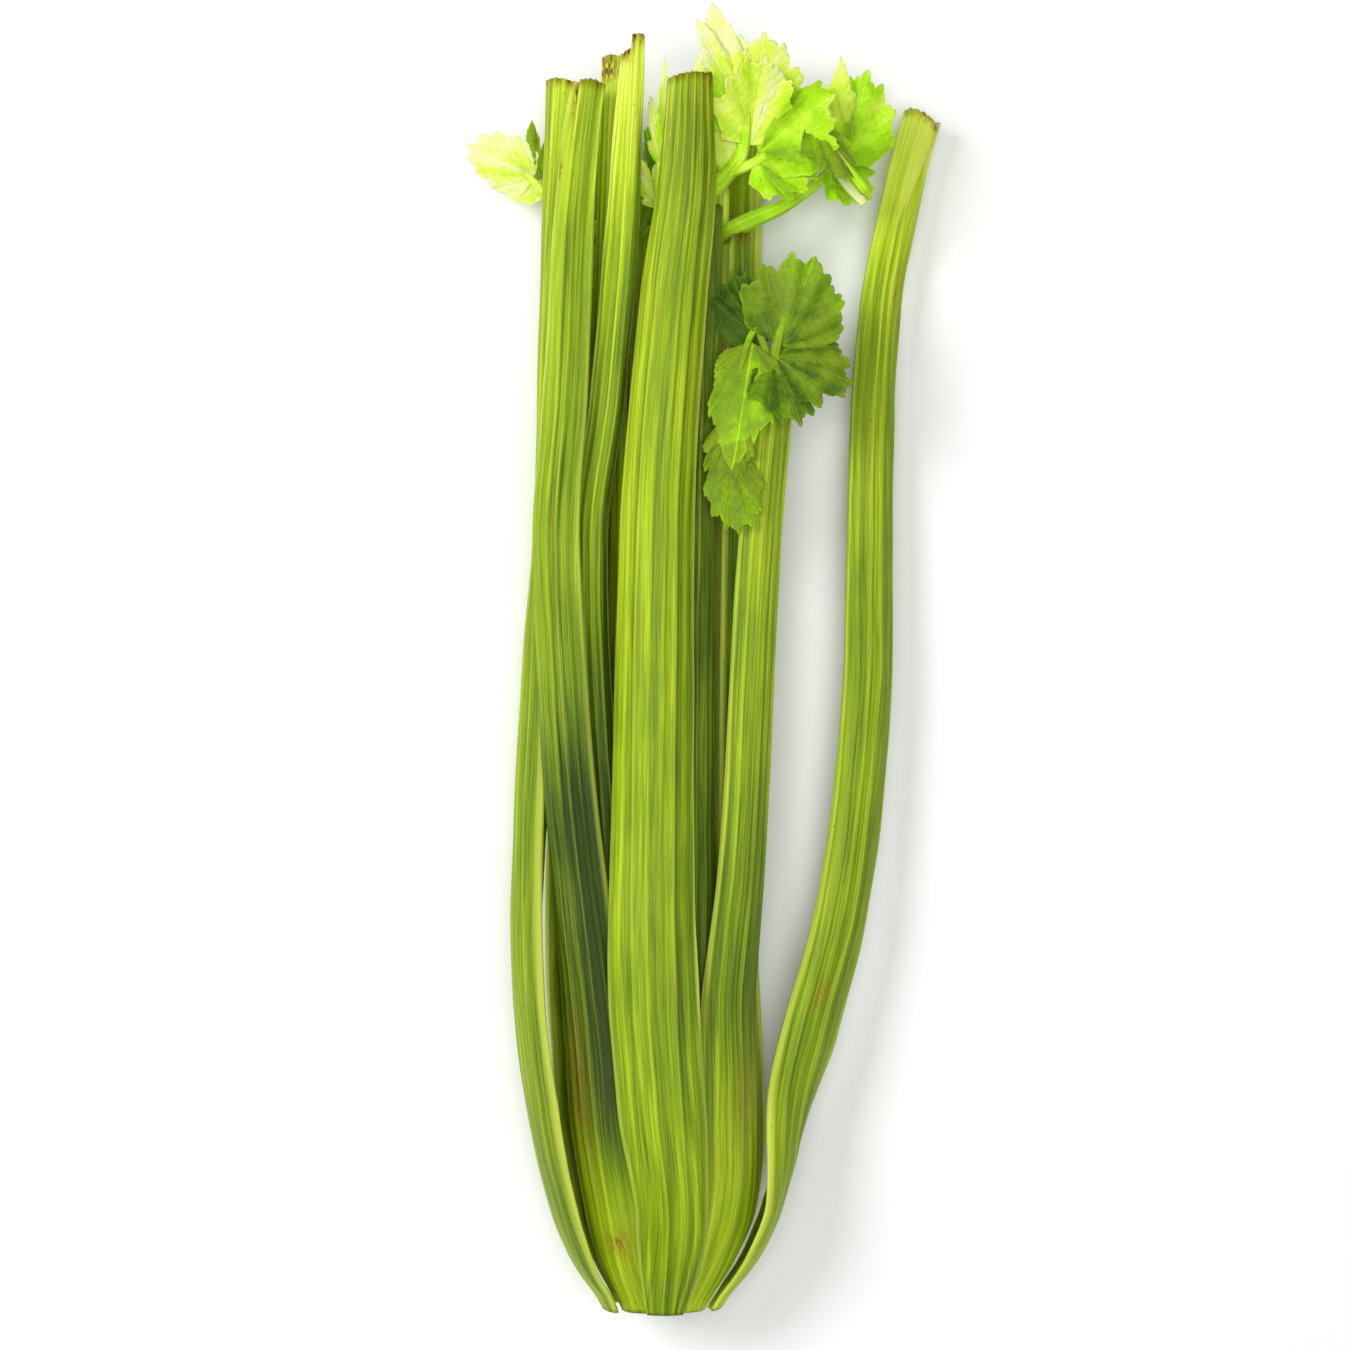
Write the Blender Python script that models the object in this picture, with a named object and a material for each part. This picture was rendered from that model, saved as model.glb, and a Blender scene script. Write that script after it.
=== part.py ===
"""A head of celery lying on its back: ribbed stalks nested round a root plate, with leaves on the inner ones.

Metres, +Z up. The head lies along Y, its cut butt at -Y and its leaf tips at +Y, and +X is its right seen
from above. The origin is on the surface it lies on, under the middle of its box. Sizes below are in
millimetres, and a height is measured along the head from the butt's cut face.
"""

import math

import bmesh
import bpy
import numpy as np

MM = 0.001
HEAD_LENGTH = 360.0
BUTT_Y = -HEAD_LENGTH / 2

# The head's own axis, and the ring that the outer stalks' backs follow round it, by height.
AXIS_X = ((0, -12.6), (28, -11.4), (60, -13.4), (90, -14.5), (HEAD_LENGTH, -10.8))
AXIS_Z = 27.0
RING = (
    (0, 14.8), (4, 17.0), (10, 21.2), (16, 24.6), (28, 29.2), (45, 32.4),
    (70, 34.2), (110, 34.4), (200, 33.6), (300, 34.2),
)
RING_WIDE, RING_DEEP = 1.12, 0.92
RIB_HEIGHT = 0.75
ROW_CROWDING = 1.6

# A stalk's shape by kind, each value by height: its width as a share of its middle width, the half angle of
# its curved back, its thickness in the middle and at the edges, how sharply it thins towards the edges, and
# how far out it stands as a share of the ring.
KINDS = {
    "outer": {
        "width": (
            (0, 0.74), (10, 1.1), (25, 1.45), (45, 1.5), (80, 1.3), (120, 1.1),
            (180, 1), (280, 0.86), (345, 0.8),
        ),
        "arc": ((0, 40), (25, 42), (60, 49), (120, 66), (200, 76), (345, 78)),
        "thick": ((0, 4.0), (30, 5.0), (80, 6.2), (200, 6.6), (345, 5.8)),
        "edge": ((0, 1.2), (60, 1.4), (150, 2.4), (345, 2.6)),
        "wing": ((0, 1.3), (60, 1.4), (150, 2.2)),
        "out": ((0, 1.0),),
        "ribs": 8,
        "rows": 12,
    },
    "nested": {
        "width": (
            (0, 0.6), (10, 1), (25, 1.4), (45, 1.45), (80, 1.3), (120, 1.1),
            (180, 1), (280, 0.9), (345, 0.85),
        ),
        "arc": ((0, 66), (60, 64), (120, 66), (200, 74)),
        "thick": ((0, 2.9), (30, 3.9), (80, 5.4), (200, 6.2), (345, 5.4)),
        "edge": ((0, 1.2), (60, 1.4), (150, 2.2), (345, 2.4)),
        "wing": ((0, 1.3), (60, 1.4), (150, 2.2)),
        "out": ((0, 0.86), (80, 0.86), (150, 0.92), (345, 0.94)),
        "ribs": 8,
        "rows": 11,
    },
    "inner": {
        "width": ((0, 0.6), (10, 0.66), (28, 1.0), (45, 1.08), (90, 1.06), (150, 1.0), (345, 0.9)),
        "arc": ((0, 50), (60, 56), (150, 68), (345, 70)),
        "thick": ((0, 2.8), (40, 4.2), (150, 5.4), (345, 4.8)),
        "edge": ((0, 1.2), (345, 2.0)),
        "wing": ((0, 1.5), (150, 2.2)),
        "out": ((0, 0.57), (12, 0.58), (30, 0.615), (80, 0.62)),
        "ribs": 6,
        "rows": 9,
    },
    "heart": {
        "width": ((0, 0.9), (40, 1.1), (120, 1.0), (345, 0.8)),
        "arc": ((0, 50), (120, 64)),
        "thick": ((0, 3.2), (120, 4.6)),
        "edge": ((0, 1.2), (345, 1.6)),
        "wing": ((0, 1.6), (150, 2.2)),
        "out": ((0, 0.38), (345, 0.36)),
        "ribs": 4,
        "rows": 7,
    },
}

# name: kind, azimuth round the axis in degrees from the front (+Z) towards +X, middle width, start, end, and
# what sets this stalk apart, by height: "wide", "arc" and "out" multiply its kind's values, "x" and "z" shift
# it, "turn" turns its back, "slant" is the slope of its cut top and "notch" the depth of a torn one.
STALKS = {
    "stalk_front": (
        "outer", 3, 22.0, 0, 340,
        {
            "x": ((28, 0.3), (60, -0.8), (115, -2.4), (217, -2.2), (280, 1.2), (317, 4.3), (340, 4.6)),
            "wide": ((0, 0.66), (28, 0.64), (60, 0.8), (105, 1), (280, 1), (340, 0.7)),
            "arc": ((0, 0.78), (60, 0.85), (120, 1)),
            "slant": 0.12,
        },
    ),
    "stalk_left": (
        "outer", -78, 21.5, 0, 343,
        {
            "x": ((60, 0), (111, -2.2), (184, -0.6), (217, 1.2), (280, 2.6), (343, 4)),
            "z": ((90, 0), (150, -6), (190, -8.6), (230, -8.4), (280, -5.8), (343, -3.6)),
            "wide": ((0, 0.96), (60, 1)),
            "turn": ((60, -4), (115, -10), (200, -18), (280, -10), (343, 4)),
            "slant": -0.06,
        },
    ),
    "stalk_back_left": (
        "outer", -144, 19.5, 0, 338,
        {
            "out": ((0, 0.95), (60, 0.98), (90, 1)),
            "x": ((70, 0), (120, -1.8), (180, 0)),
            "wide": ((0, 0.86), (30, 0.88), (80, 1), (120, 1.1), (180, 0.98)),
            "turn": ((0, -4), (300, -12)),
            "slant": 0.12,
        },
    ),
    "stalk_back_right": (
        "outer", 144, 19.5, 0, 335,
        {
            "out": ((0, 0.95), (60, 0.98), (90, 1)),
            "wide": ((0, 0.84), (30, 0.88), (80, 0.98)),
            "turn": ((0, 4), (300, 12)),
            "slant": -0.1,
        },
    ),
    "stalk_right_splayed": (
        "outer", 89, 16.5, 0, 337,
        {
            "x": (
                (0, 0.2), (28, 0), (45, 1.6), (60, 4.4), (75, 9), (111, 18.5),
                (150, 24), (184, 26.3), (250, 25.8),
                (281, 27.2), (316, 33.2), (337, 38),
            ),
            "z": ((0, 1.1), (40, 1.2), (60, 0.4), (150, -6), (337, -14)),
            "wide": ((0, 1), (28, 1.05), (45, 1.02), (75, 1.2), (337, 1.12)),
            "turn": ((30, 0), (75, -38), (120, -42)),
            "slant": -0.2,
            "notch": 5.0,
            "rows": 16,
        },
    ),
    "stalk_front_left": (
        "nested", -38, 18.5, 0, 340,
        {
            "out": ((0, 0.995), (40, 0.985), (120, 0.9), (220, 0.92), (300, 0.98)),
            "x": (
                (0, 0.2), (60, -0.2), (115, -5), (170, -9.8),
                (214, -12), (252, -9.2), (316, -4.4), (340, -0.7),
            ),
            "z": ((115, 0), (160, 2), (214, 2.4), (252, 1.6), (316, -0.9)),
            "wide": ((0, 0.98),),
            "turn": ((60, 0), (150, -7)),
            "slant": 0.1,
        },
    ),
    "stalk_front_right": (
        "nested", 50, 17.5, 0, 250,
        {"out": ((0, 0.98), (60, 0.97), (120, 1)), "x": ((90, 0), (217, 5), (250, 6.8))},
    ),
    "stalk_back": (
        "nested", 180, 16.0, 0, 331,
        {"out": ((0, 0.95), (60, 0.96), (120, 0.94)), "wide": ((0, 0.6), (20, 0.72), (60, 0.92))},
    ),
    "stalk_inner_tall": (
        "inner", -22, 11.5, 10, 352,
        {
            "x": (
                (0, 0.7), (40, 1.3), (80, -1), (115, -4.6),
                (214, -11), (252, -6.7), (317, -2.4), (352, -1),
            ),
            "z": ((0, -0.3), (40, -0.5), (90, 0.2), (115, 0), (214, 1.4), (252, 3.9), (317, 5.4)),
            "wide": ((300, 1), (352, 0.66)),
        },
    ),
    "stalk_inner_left": (
        "inner", -66, 10.8, 10, 349,
        {
            "out": ((0, 0.96), (30, 0.95), (120, 0.94)),
            "x": ((200, 0), (345, 3)),
            "wide": ((0, 1.1), (40, 1)),
        },
    ),
    "stalk_inner_right": ("inner", 32, 13.6, 10, 307, {"out": ((0, 0.98), (60, 1))}),
    "stalk_inner_far_right": (
        "inner", 83, 14.5, 10, 300,
        {"out": ((0, 0.97), (60, 1)), "wide": ((0, 0.94), (60, 1))},
    ),
    "stalk_inner_back_right": (
        "inner", 137, 14.5, 10, 316,
        {"out": ((0, 0.98),), "wide": ((0, 0.94), (60, 0.98))},
    ),
    "stalk_inner_back_left": ("inner", -170, 14.5, 10, 321, {"out": ((0, 0.96), (60, 0.93), (200, 0.95))}),
    "stalk_inner_far_left": ("inner", -120, 14.5, 10, 300, {}),
    "heart_front": ("heart", 6, 12.0, 18, 262, {}),
    "heart_right": ("heart", 100, 12.0, 18, 240, {}),
    "heart_back": ("heart", -170, 12.0, 18, 290, {}),
    "heart_left": ("heart", -82, 12.0, 18, 275, {}),
}

# How wide a torn stalk's notch is at its top, and how far its cutter reaches past the stalk.
NOTCH_WIDTH, NOTCH_REACH = 7.0, 9.0

# The root plate that the stalks grow from: a squat cone as (radius, height) points, inside the stalks' bases.
ROOT_PLATE = ((8.0, 0), (9.4, 3), (10.2, 6), (8.6, 9), (6.6, 12), (4.2, 15), (1.5, 17))
ROOT_SIDES = 24

# A leaflet's outline by style, as (angle off its midrib, reach as a share of its length) for one side.
OUTLINES = {
    "lobed": (
        (0, 1.0), (7, 0.86), (15, 0.68), (22, 0.5), (29, 0.74), (36, 0.82),
        (45, 0.66), (55, 0.4), (64, 0.52),
        (80, 0.22),
    ),
    "scalloped": (
        (0, 1.0), (8, 0.9), (16, 0.97), (24, 0.82), (33, 0.9), (42, 0.74),
        (52, 0.76), (63, 0.52), (80, 0.24),
    ),
    "broad": (
        (0, 1.0), (9, 0.91), (18, 0.97), (28, 0.84), (38, 0.92), (49, 0.78),
        (60, 0.82), (73, 0.6), (86, 0.46),
    ),
    "pointed": ((0, 1.0), (7, 0.84), (14, 0.66), (20, 0.62), (28, 0.44), (40, 0.34), (62, 0.18)),
}
BLADE = 0.75
LEAFLET_RINGS = (0.5, 1.0)
STEM_SIDES = 6
WELD = 0.00001

# A leaf is its branching stems, each a line of (x, height, z, radius), and its leaflets, each a style, the
# middle of its base, its tip, the way its upper face looks, its width as a share of the outline's, its arch
# in degrees along its length, and how far its sides fold down.
LEAVES = {
    "leaf_top": {
        "stems": (
            ((0.5, 309.4, 41.6, 2.4), (5, 313.8, 43.8, 2.2), (9.5, 320, 46, 1.8), (11, 331, 48.2, 1.1)),
            (
                (6, 314.5, 43.8, 1.6), (15, 318.5, 45.8, 1.3), (27, 327, 48.6, 1.1), (34.5, 319, 51.2, 1.2),
                (43.2, 308.6, 51, 1.5),
            ),
        ),
        "leaflets": (
            ("pointed", (7.6, 325, 46.4), (1.2, 359.9, 54.4), (0, -0.2, 1), 1.0, 16, 0.1),
            ("pointed", (8.4, 333, 48.2), (-2.6, 354.6, 54.4), (0, -0.3, 1), 0.8, 20, 0.1),
            ("broad", (10.5, 324, 46.8), (15.5, 352.5, 50.6), (0.2, -0.2, 1), 0.8, 14, 0.05),
            ("broad", (11.5, 322, 46.6), (15.6, 345, 56.4), (0.1, -0.5, 1), 0.66, -34, -0.2),
            ("broad", (14.5, 320, 46.2), (35, 334.5, 52), (-0.2, 0.1, 1), 0.8, 36, 0.12),
            ("scalloped", (29, 327.5, 49), (37.5, 310.5, 55), (0.5, 0.3, 1), 0.66, 26, 0.2),
            ("broad", (13, 318.5, 45.4), (30.5, 312.5, 46.4), (0.1, 0.2, 1), 0.8, 24, 0.1),
            ("pointed", (6.2, 314, 44.2), (3.4, 335, 45.8), (0, 0, 1), 0.8, 12, 0.1),
        ),
    },
    "leaf_right": {
        "stems": (
            ((10, 302.8, 28.9, 2.4), (22, 308, 30.4, 1.9), (32, 315, 33.4, 1.4), (38.5, 323, 36.4, 1.0)),
        ),
        "leaflets": (
            ("broad", (37.5, 319, 35.2), (44.5, 343.5, 39.4), (0.2, -0.1, 1), 0.72, 24, 0.1),
            ("pointed", (37.5, 323, 35.9), (36.8, 347.2, 43.4), (0, -0.2, 1), 0.75, 10, 0.1),
            ("broad", (35, 318, 34.3), (45.8, 309, 33.4), (0.2, 0.3, 1), 0.85, 28, 0.1),
        ),
    },
    "leaf_front_right": {
        "stems": (
            ((17.5, 251.6, 43.9, 2.2), (17.6, 258, 46.9, 1.9), (19, 267, 49.4, 1.4), (21, 275, 50.4, 1.0)),
            (
                (17.5, 260, 47.4, 1.2), (13.5, 271, 49.6, 1.0), (9.5, 262, 51.2, 0.9), (7, 246, 51.2, 0.9),
                (5.4, 230, 50.4, 0.8),
            ),
        ),
        "leaflets": (
            ("broad", (18.6, 264, 49.2), (40.2, 256.5, 47.2), (0.3, 0.2, 1), 0.72, 30, 0.12),
            ("broad", (19.4, 267, 49.6), (29.5, 291, 50.6), (0.1, -0.2, 1), 0.85, 20, 0.1),
            ("broad", (18, 263, 48.4), (25.5, 244.5, 53.2), (0.4, 0.3, 1), 0.75, 20, 0.12),
            ("broad", (14.6, 267, 48.6), (6.5, 287.5, 46.6), (0, 0, 1), 0.6, 10, 0.1),
            ("pointed", (12.3, 267.5, 50.6), (6.6, 232, 52.2), (0.1, 0.2, 1), 1.2, 15, 0.12),
            ("scalloped", (7.6, 247, 51.4), (3.4, 226, 51.6), (0, 0.1, 1), 0.56, 14, 0.1),
            ("broad", (6.4, 235, 51.2), (8.6, 215, 52.6), (0.1, 0.2, 1), 0.6, 20, 0.14),
        ),
    },
    "leaf_left": {
        "stems": (
            (
                (-31, 302.5, 18.9, 2.2), (-40, 308, 16.3, 1.6),
                (-47.5, 315, 17.2, 1.3), (-53, 320.5, 19.0, 1.0),
            ),
        ),
        "leaflets": (
            ("broad", (-48.5, 318, 18), (-67.7, 326.6, 21.4), (-0.1, 0, 1), 0.56, 26, 0.1),
            ("lobed", (-48.5, 317, 17.6), (-49.2, 334.5, 18.6), (0, 0, 1), 0.6, 16, 0.1),
            ("broad", (-46, 314, 16.9), (-58, 313.5, 18.2), (-0.1, 0.2, 1), 0.5, 20, 0.1),
        ),
    },
    "leaf_heart_front": {
        "stems": (
            (
                (-10.5, 262.7, 37.4, 1.9), (-12, 285, 38.9, 1.5),
                (-13.2, 306, 41.4, 1.1), (-13, 318, 43.4, 0.9),
            ),
        ),
        "leaflets": (
            ("lobed", (-12.4, 317, 43.0), (-11.4, 346, 46.4), (0, -0.1, 1), 0.33, 14, 0.1),
            ("lobed", (-12.6, 296, 40.4), (-3, 312, 37.4), (0.1, 0, 1), 0.55, 16, 0.1),
            ("lobed", (-13.2, 306, 41.4), (-20, 322, 35.4), (-0.3, 0, 1), 0.5, 16, 0.1),
        ),
    },
    "leaf_heart_back": {
        "stems": (
            ((-12.5, 290.7, 16.4, 1.9), (-12.5, 305, 17.4, 1.4), (-12, 316, 19.4, 1.0)),
        ),
        "leaflets": (
            ("lobed", (-12, 314, 18.9), (-9, 340, 23.4), (0, -0.2, 1), 0.6, 20, 0.1),
            ("lobed", (-12.5, 305, 17.4), (-23, 318, 21.4), (-0.2, 0, 1), 0.55, 18, 0.1),
            ("lobed", (-12.5, 307, 17.9), (-1.5, 320, 21.4), (0.2, 0, 1), 0.55, 18, 0.1),
        ),
    },
    "leaf_heart_left": {
        "stems": (
            ((-22.5, 275.7, 28.4, 1.8), (-21, 290, 28.4, 1.3), (-20, 300, 28.9, 0.9)),
        ),
        "leaflets": (
            ("lobed", (-20, 298, 28.7), (-18, 318, 29.4), (-0.6, 0, 1), 0.5, 14, 0.1),
        ),
    },
    "leaf_heart_right": {
        "stems": (
            ((0.5, 240.7, 25.4, 1.8), (-1, 262, 25.4, 1.3), (-2.5, 280, 25.9, 0.9)),
        ),
        "leaflets": (
            ("lobed", (-2.5, 278, 25.8), (-4, 300, 26.4), (0.6, 0, 1), 0.5, 14, 0.1),
        ),
    },
}

# name: base colour, roughness
COLOURS = {
    "stalk_green": ((0.36, 0.46, 0.07), 0.42),
    "inner_stalk_green": ((0.52, 0.60, 0.13), 0.42),
    "leaf_green": ((0.22, 0.42, 0.03), 0.5),
    "leaf_yellow_green": ((0.48, 0.66, 0.06), 0.5),
    "leaf_pale": ((0.72, 0.80, 0.42), 0.55),
    "root_plate_tan": ((0.50, 0.42, 0.20), 0.7),
}
LEAF_COLOURS = {
    "leaf_top": "leaf_yellow_green",
    "leaf_right": "leaf_yellow_green",
    "leaf_left": "leaf_pale",
    "leaf_heart_front": "leaf_yellow_green",
}


def curve(knots, height):
    """The value at this height of a smooth line through (height, value) knots, flat beyond its ends."""
    places = [k[0] for k in knots]
    values = [k[1] for k in knots]
    if height <= places[0]:
        return values[0]
    if height >= places[-1]:
        return values[-1]
    i = max(n for n in range(len(places) - 1) if places[n] <= height)
    gaps = np.diff(places)
    slopes = np.diff(values) / gaps

    def tangent(n):
        if n == 0:
            return slopes[0]
        if n == len(places) - 1:
            return slopes[-1]
        if slopes[n - 1] * slopes[n] <= 0:
            return 0.0
        return 2 * slopes[n - 1] * slopes[n] / (slopes[n - 1] + slopes[n])

    u = (height - places[i]) / gaps[i]
    return (
        (1 + 2 * u) * (1 - u) ** 2 * values[i]
        + u * (1 - u) ** 2 * gaps[i] * tangent(i)
        + u * u * (3 - 2 * u) * values[i + 1]
        + u * u * (u - 1) * gaps[i] * tangent(i + 1)
    )


def heading(degrees):
    """The unit vector in the XZ plane at this azimuth from the front (+Z) towards +X."""
    return np.array([math.sin(math.radians(degrees)), math.cos(math.radians(degrees))])


def section(name, height, across, inside):
    """One stalk's cut across the head at this height: its ribbed back and hollow front, as XZ points."""
    kind, azimuth, middle_width, _, _, own = STALKS[name]
    shape = {k: curve(v, height) for k, v in KINDS[kind].items() if isinstance(v, tuple)}
    extra = {k: curve(v, height) for k, v in own.items() if isinstance(v, tuple)}
    half = middle_width * shape["width"] * extra.get("wide", 1) / 2
    arc = math.radians(shape["arc"] * extra.get("arc", 1))
    radius = half / math.sin(arc)
    out = curve(RING, height) * shape["out"] * extra.get("out", 1)
    shift = np.array([extra.get("x", 0), extra.get("z", 0)])
    axis = np.array([curve(AXIS_X, height), AXIS_Z])
    middle = axis + out * heading(azimuth) * (RING_WIDE, RING_DEEP) + shift
    facing = heading(azimuth + extra.get("turn", 0))
    side = np.array([facing[1], -facing[0]])
    centre = middle - radius * facing

    def point(share, depth):
        angle = share * arc
        normal = math.cos(angle) * facing + math.sin(angle) * side
        return centre + (radius - depth) * normal

    back = []
    for share in np.linspace(-1, 1, across):
        rib = RIB_HEIGHT * (0.5 - 0.5 * math.cos(math.pi * KINDS[kind]["ribs"] * (share + 1)))
        back.append(point(share, -rib))
    front = []
    for share in np.linspace(0.94, -0.94, inside):
        thinning = 1 - abs(share) ** shape["wing"]
        front.append(point(share, shape["edge"] + (shape["thick"] - shape["edge"]) * thinning))
    return np.array(back + front)


def material(name):
    """A plain Principled material in this slot's colour."""
    if name in bpy.data.materials:
        return bpy.data.materials[name]
    made = bpy.data.materials.new(name)
    made.use_nodes = True
    colour, roughness = COLOURS[name]
    shader = made.node_tree.nodes["Principled BSDF"]
    shader.inputs["Base Color"].default_value = (*colour, 1)
    shader.inputs["Roughness"].default_value = roughness
    shader.inputs["Metallic"].default_value = 0.0
    made.diffuse_color = (*colour, 1)
    return made


def in_scene(name, mesh, slot):
    """Make an object of this bmesh, whose faces point out, in this colour."""
    bmesh.ops.recalc_face_normals(mesh, faces=mesh.faces)
    bmesh.ops.triangulate(mesh, faces=mesh.faces)
    data = bpy.data.meshes.new(name)
    mesh.to_mesh(data)
    mesh.free()
    data.materials.append(material(slot))
    made = bpy.data.objects.new(name, data)
    bpy.context.scene.collection.objects.link(made)
    return made


def loft(rings):
    """A closed bmesh through rings of equal point counts in metres, capped at both ends."""
    mesh = bmesh.new()
    rows = [[mesh.verts.new(p) for p in ring] for ring in rings]
    for low, high in zip(rows, rows[1:]):
        for i in range(len(low)):
            j = (i + 1) % len(low)
            mesh.faces.new((low[i], low[j], high[j], high[i]))
    mesh.faces.new(rows[0][::-1])
    mesh.faces.new(rows[-1])
    return mesh


def placed(x, height, z):
    """A point of the head in metres."""
    return np.array([x, BUTT_Y + height, max(z, 0.0)]) * MM


def cut_notch(made, name, depth):
    """Split a stalk's torn top into two prongs with a wedge cut through its thickness."""
    _, azimuth, _, _, end, own = STALKS[name]
    facing = heading(azimuth + curve(own["turn"], end))
    side = np.array([facing[1], -facing[0]])
    corners = []
    for height, half in ((end - depth, 0.05), (end + 1, NOTCH_WIDTH / 2)):
        middle = section(name, height, 3, 3).mean(axis=0)
        for across, deep in ((-1, -1), (1, -1), (1, 1), (-1, 1)):
            x, z = middle + across * half * side + deep * NOTCH_REACH * facing
            corners.append(np.array([x, BUTT_Y + height, z]) * MM)
    cutter = in_scene(name + "_notch", loft([corners[:4], corners[4:]]), "stalk_green")
    cut = made.modifiers.new("notch", "BOOLEAN")
    cut.operation = "DIFFERENCE"
    cut.object = cutter
    cut.solver = "EXACT"
    made.data = bpy.data.meshes.new_from_object(made.evaluated_get(bpy.context.evaluated_depsgraph_get()))
    made.modifiers.clear()
    bpy.data.objects.remove(cutter)


def stalk(name):
    """One stalk: its sections from base to top, the last ones sloped towards its slanted cut."""
    kind, _, _, start, end, own = STALKS[name]
    shape = KINDS[kind]
    across = 2 * shape["ribs"] + 1
    slant = own.get("slant", 0.0)
    rings = []
    for u in np.linspace(0, 1, own.get("rows", shape["rows"])):
        height = start + (end - start) * u**ROW_CROWDING
        flat = section(name, height, across, 5)
        lean = slant * u**12
        middle = flat.mean(axis=0)
        rings.append([placed(x, height + lean * (x - middle[0]), z) for x, z in flat])
    colour = "stalk_green" if kind in ("outer", "nested") else "inner_stalk_green"
    made = in_scene(name, loft(rings), colour)
    if "notch" in own:
        cut_notch(made, name, own["notch"])
    return made


def root_plate():
    """The root plate as a turned cone, squashed like the head, under the stalks' bases."""
    rings = []
    for radius, height in ROOT_PLATE:
        middle_x = curve(AXIS_X, height)
        ring = []
        for i in range(ROOT_SIDES):
            x, z = radius * heading(360 * i / ROOT_SIDES)
            ring.append(placed(middle_x + RING_WIDE * x, height, AXIS_Z + RING_DEEP * z))
        rings.append(ring)
    return in_scene("root_plate", loft(rings), "root_plate_tan")


def stem(name, points, slot):
    """A tapering round stem through (x, height, z, radius) points."""
    places = np.array([p[:3] for p in points], float)
    along = np.gradient(places, axis=0)
    rings = []
    for place, way, point in zip(places, along, points):
        way = way / np.linalg.norm(way)
        side = np.cross(way, (0.0, 0.0, 1.0))
        side /= np.linalg.norm(side)
        up = np.cross(side, way)
        turns = [2 * math.pi * i / STEM_SIDES for i in range(STEM_SIDES)]
        rings.append([placed(*(place + point[3] * (math.cos(a) * side + math.sin(a) * up))) for a in turns])
    return in_scene(name, loft(rings), slot)


def leaflet_surface(leaflet, angles, rings):
    """The points of a leaflet's middle surface, fanned out from its base, and the triangles through them."""
    style, base, tip, face, width, arch, fold = leaflet
    base, tip, face = (np.array(v, float) for v in (base, tip, face))
    length = np.linalg.norm(tip - base)
    ahead = (tip - base) / length
    up = face - face.dot(ahead) * ahead
    up /= np.linalg.norm(up)
    side = np.cross(ahead, up)
    bend = math.radians(arch)
    points = [base]
    for share in rings:
        for angle in angles:
            reach = share * length * curve(OUTLINES[style], abs(angle))
            u = reach * math.cos(math.radians(angle)) / length
            v = width * reach * math.sin(math.radians(angle))
            turn = bend * (u - 0.5)
            run = length * (math.sin(turn) + math.sin(bend / 2)) / (2 * math.sin(bend / 2))
            rise = length * (math.cos(turn) - math.cos(bend / 2)) / (2 * math.sin(bend / 2))
            points.append(base + run * ahead + (rise - fold * abs(v)) * up + v * side)
    count = len(angles)
    faces = [(0, 1 + i, 2 + i) for i in range(count - 1)]
    for ring in range(len(rings) - 1):
        low = 1 + ring * count
        for i in range(count - 1):
            a, b = low + i, low + i + 1
            faces += [(a, a + count, b + count), (a, b + count, b)]
    return np.array(points), faces


def rim(count, rings):
    """The points round the edge of a fanned surface, in order."""
    first = [1 + ring * count for ring in range(rings)]
    outer = list(range(first[-1] + 1, first[-1] + count - 1))
    last = [start + count - 1 for start in first]
    return [0, *first, *outer, *reversed(last)]


def leaflet(name, spec, slot):
    """A leaflet as a closed solid: its middle surface thickened both ways along its normals."""
    half = [a for a, _ in OUTLINES[spec[0]]]
    angles = [-a for a in reversed(half[1:])] + half
    points, faces = leaflet_surface(spec, angles, LEAFLET_RINGS)
    normals = np.zeros_like(points)
    for a, b, c in faces:
        normal = np.cross(points[b] - points[a], points[c] - points[a])
        for corner in (a, b, c):
            normals[corner] += normal
    normals /= np.linalg.norm(normals, axis=1)[:, None]
    mesh = bmesh.new()
    upper = [mesh.verts.new(placed(*p)) for p in points + BLADE / 2 * normals]
    lower = [mesh.verts.new(placed(*p)) for p in points - BLADE / 2 * normals]
    for a, b, c in faces:
        mesh.faces.new((upper[a], upper[b], upper[c]))
        mesh.faces.new((lower[c], lower[b], lower[a]))
    edge = rim(len(angles), len(LEAFLET_RINGS))
    for a, b in zip(edge, edge[1:] + edge[:1]):
        mesh.faces.new((upper[a], lower[a], lower[b], upper[b]))
    return in_scene(name, mesh, slot)


def leaf(name):
    """One leaf as one body: its first stem united with its other stems and its leaflets."""
    slot = LEAF_COLOURS.get(name, "leaf_green")
    stems = LEAVES[name]["stems"]
    body = stem(name, stems[0], slot)
    extra = bpy.data.collections.new(name + "_pieces")
    bpy.context.scene.collection.children.link(extra)
    pieces = [stem(f"{name}_stem_{i}", points, slot) for i, points in enumerate(stems[1:])]
    for i, spec in enumerate(LEAVES[name]["leaflets"]):
        pieces.append(leaflet(f"{name}_leaflet_{i}", spec, slot))
    for piece in pieces:
        bpy.context.scene.collection.objects.unlink(piece)
        extra.objects.link(piece)
    union = body.modifiers.new("union", "BOOLEAN")
    union.operation = "UNION"
    union.operand_type = "COLLECTION"
    union.collection = extra
    union.solver = "EXACT"
    applied = bpy.data.meshes.new_from_object(body.evaluated_get(bpy.context.evaluated_depsgraph_get()))
    body.modifiers.clear()
    body.data = applied
    for piece in pieces:
        bpy.data.objects.remove(piece)
    bpy.data.collections.remove(extra)
    mesh = bmesh.new()
    mesh.from_mesh(applied)
    bmesh.ops.remove_doubles(mesh, verts=mesh.verts, dist=WELD)
    bmesh.ops.dissolve_degenerate(mesh, dist=WELD, edges=mesh.edges)
    bmesh.ops.triangulate(mesh, faces=mesh.faces)
    mesh.to_mesh(applied)
    mesh.free()
    return body


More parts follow.
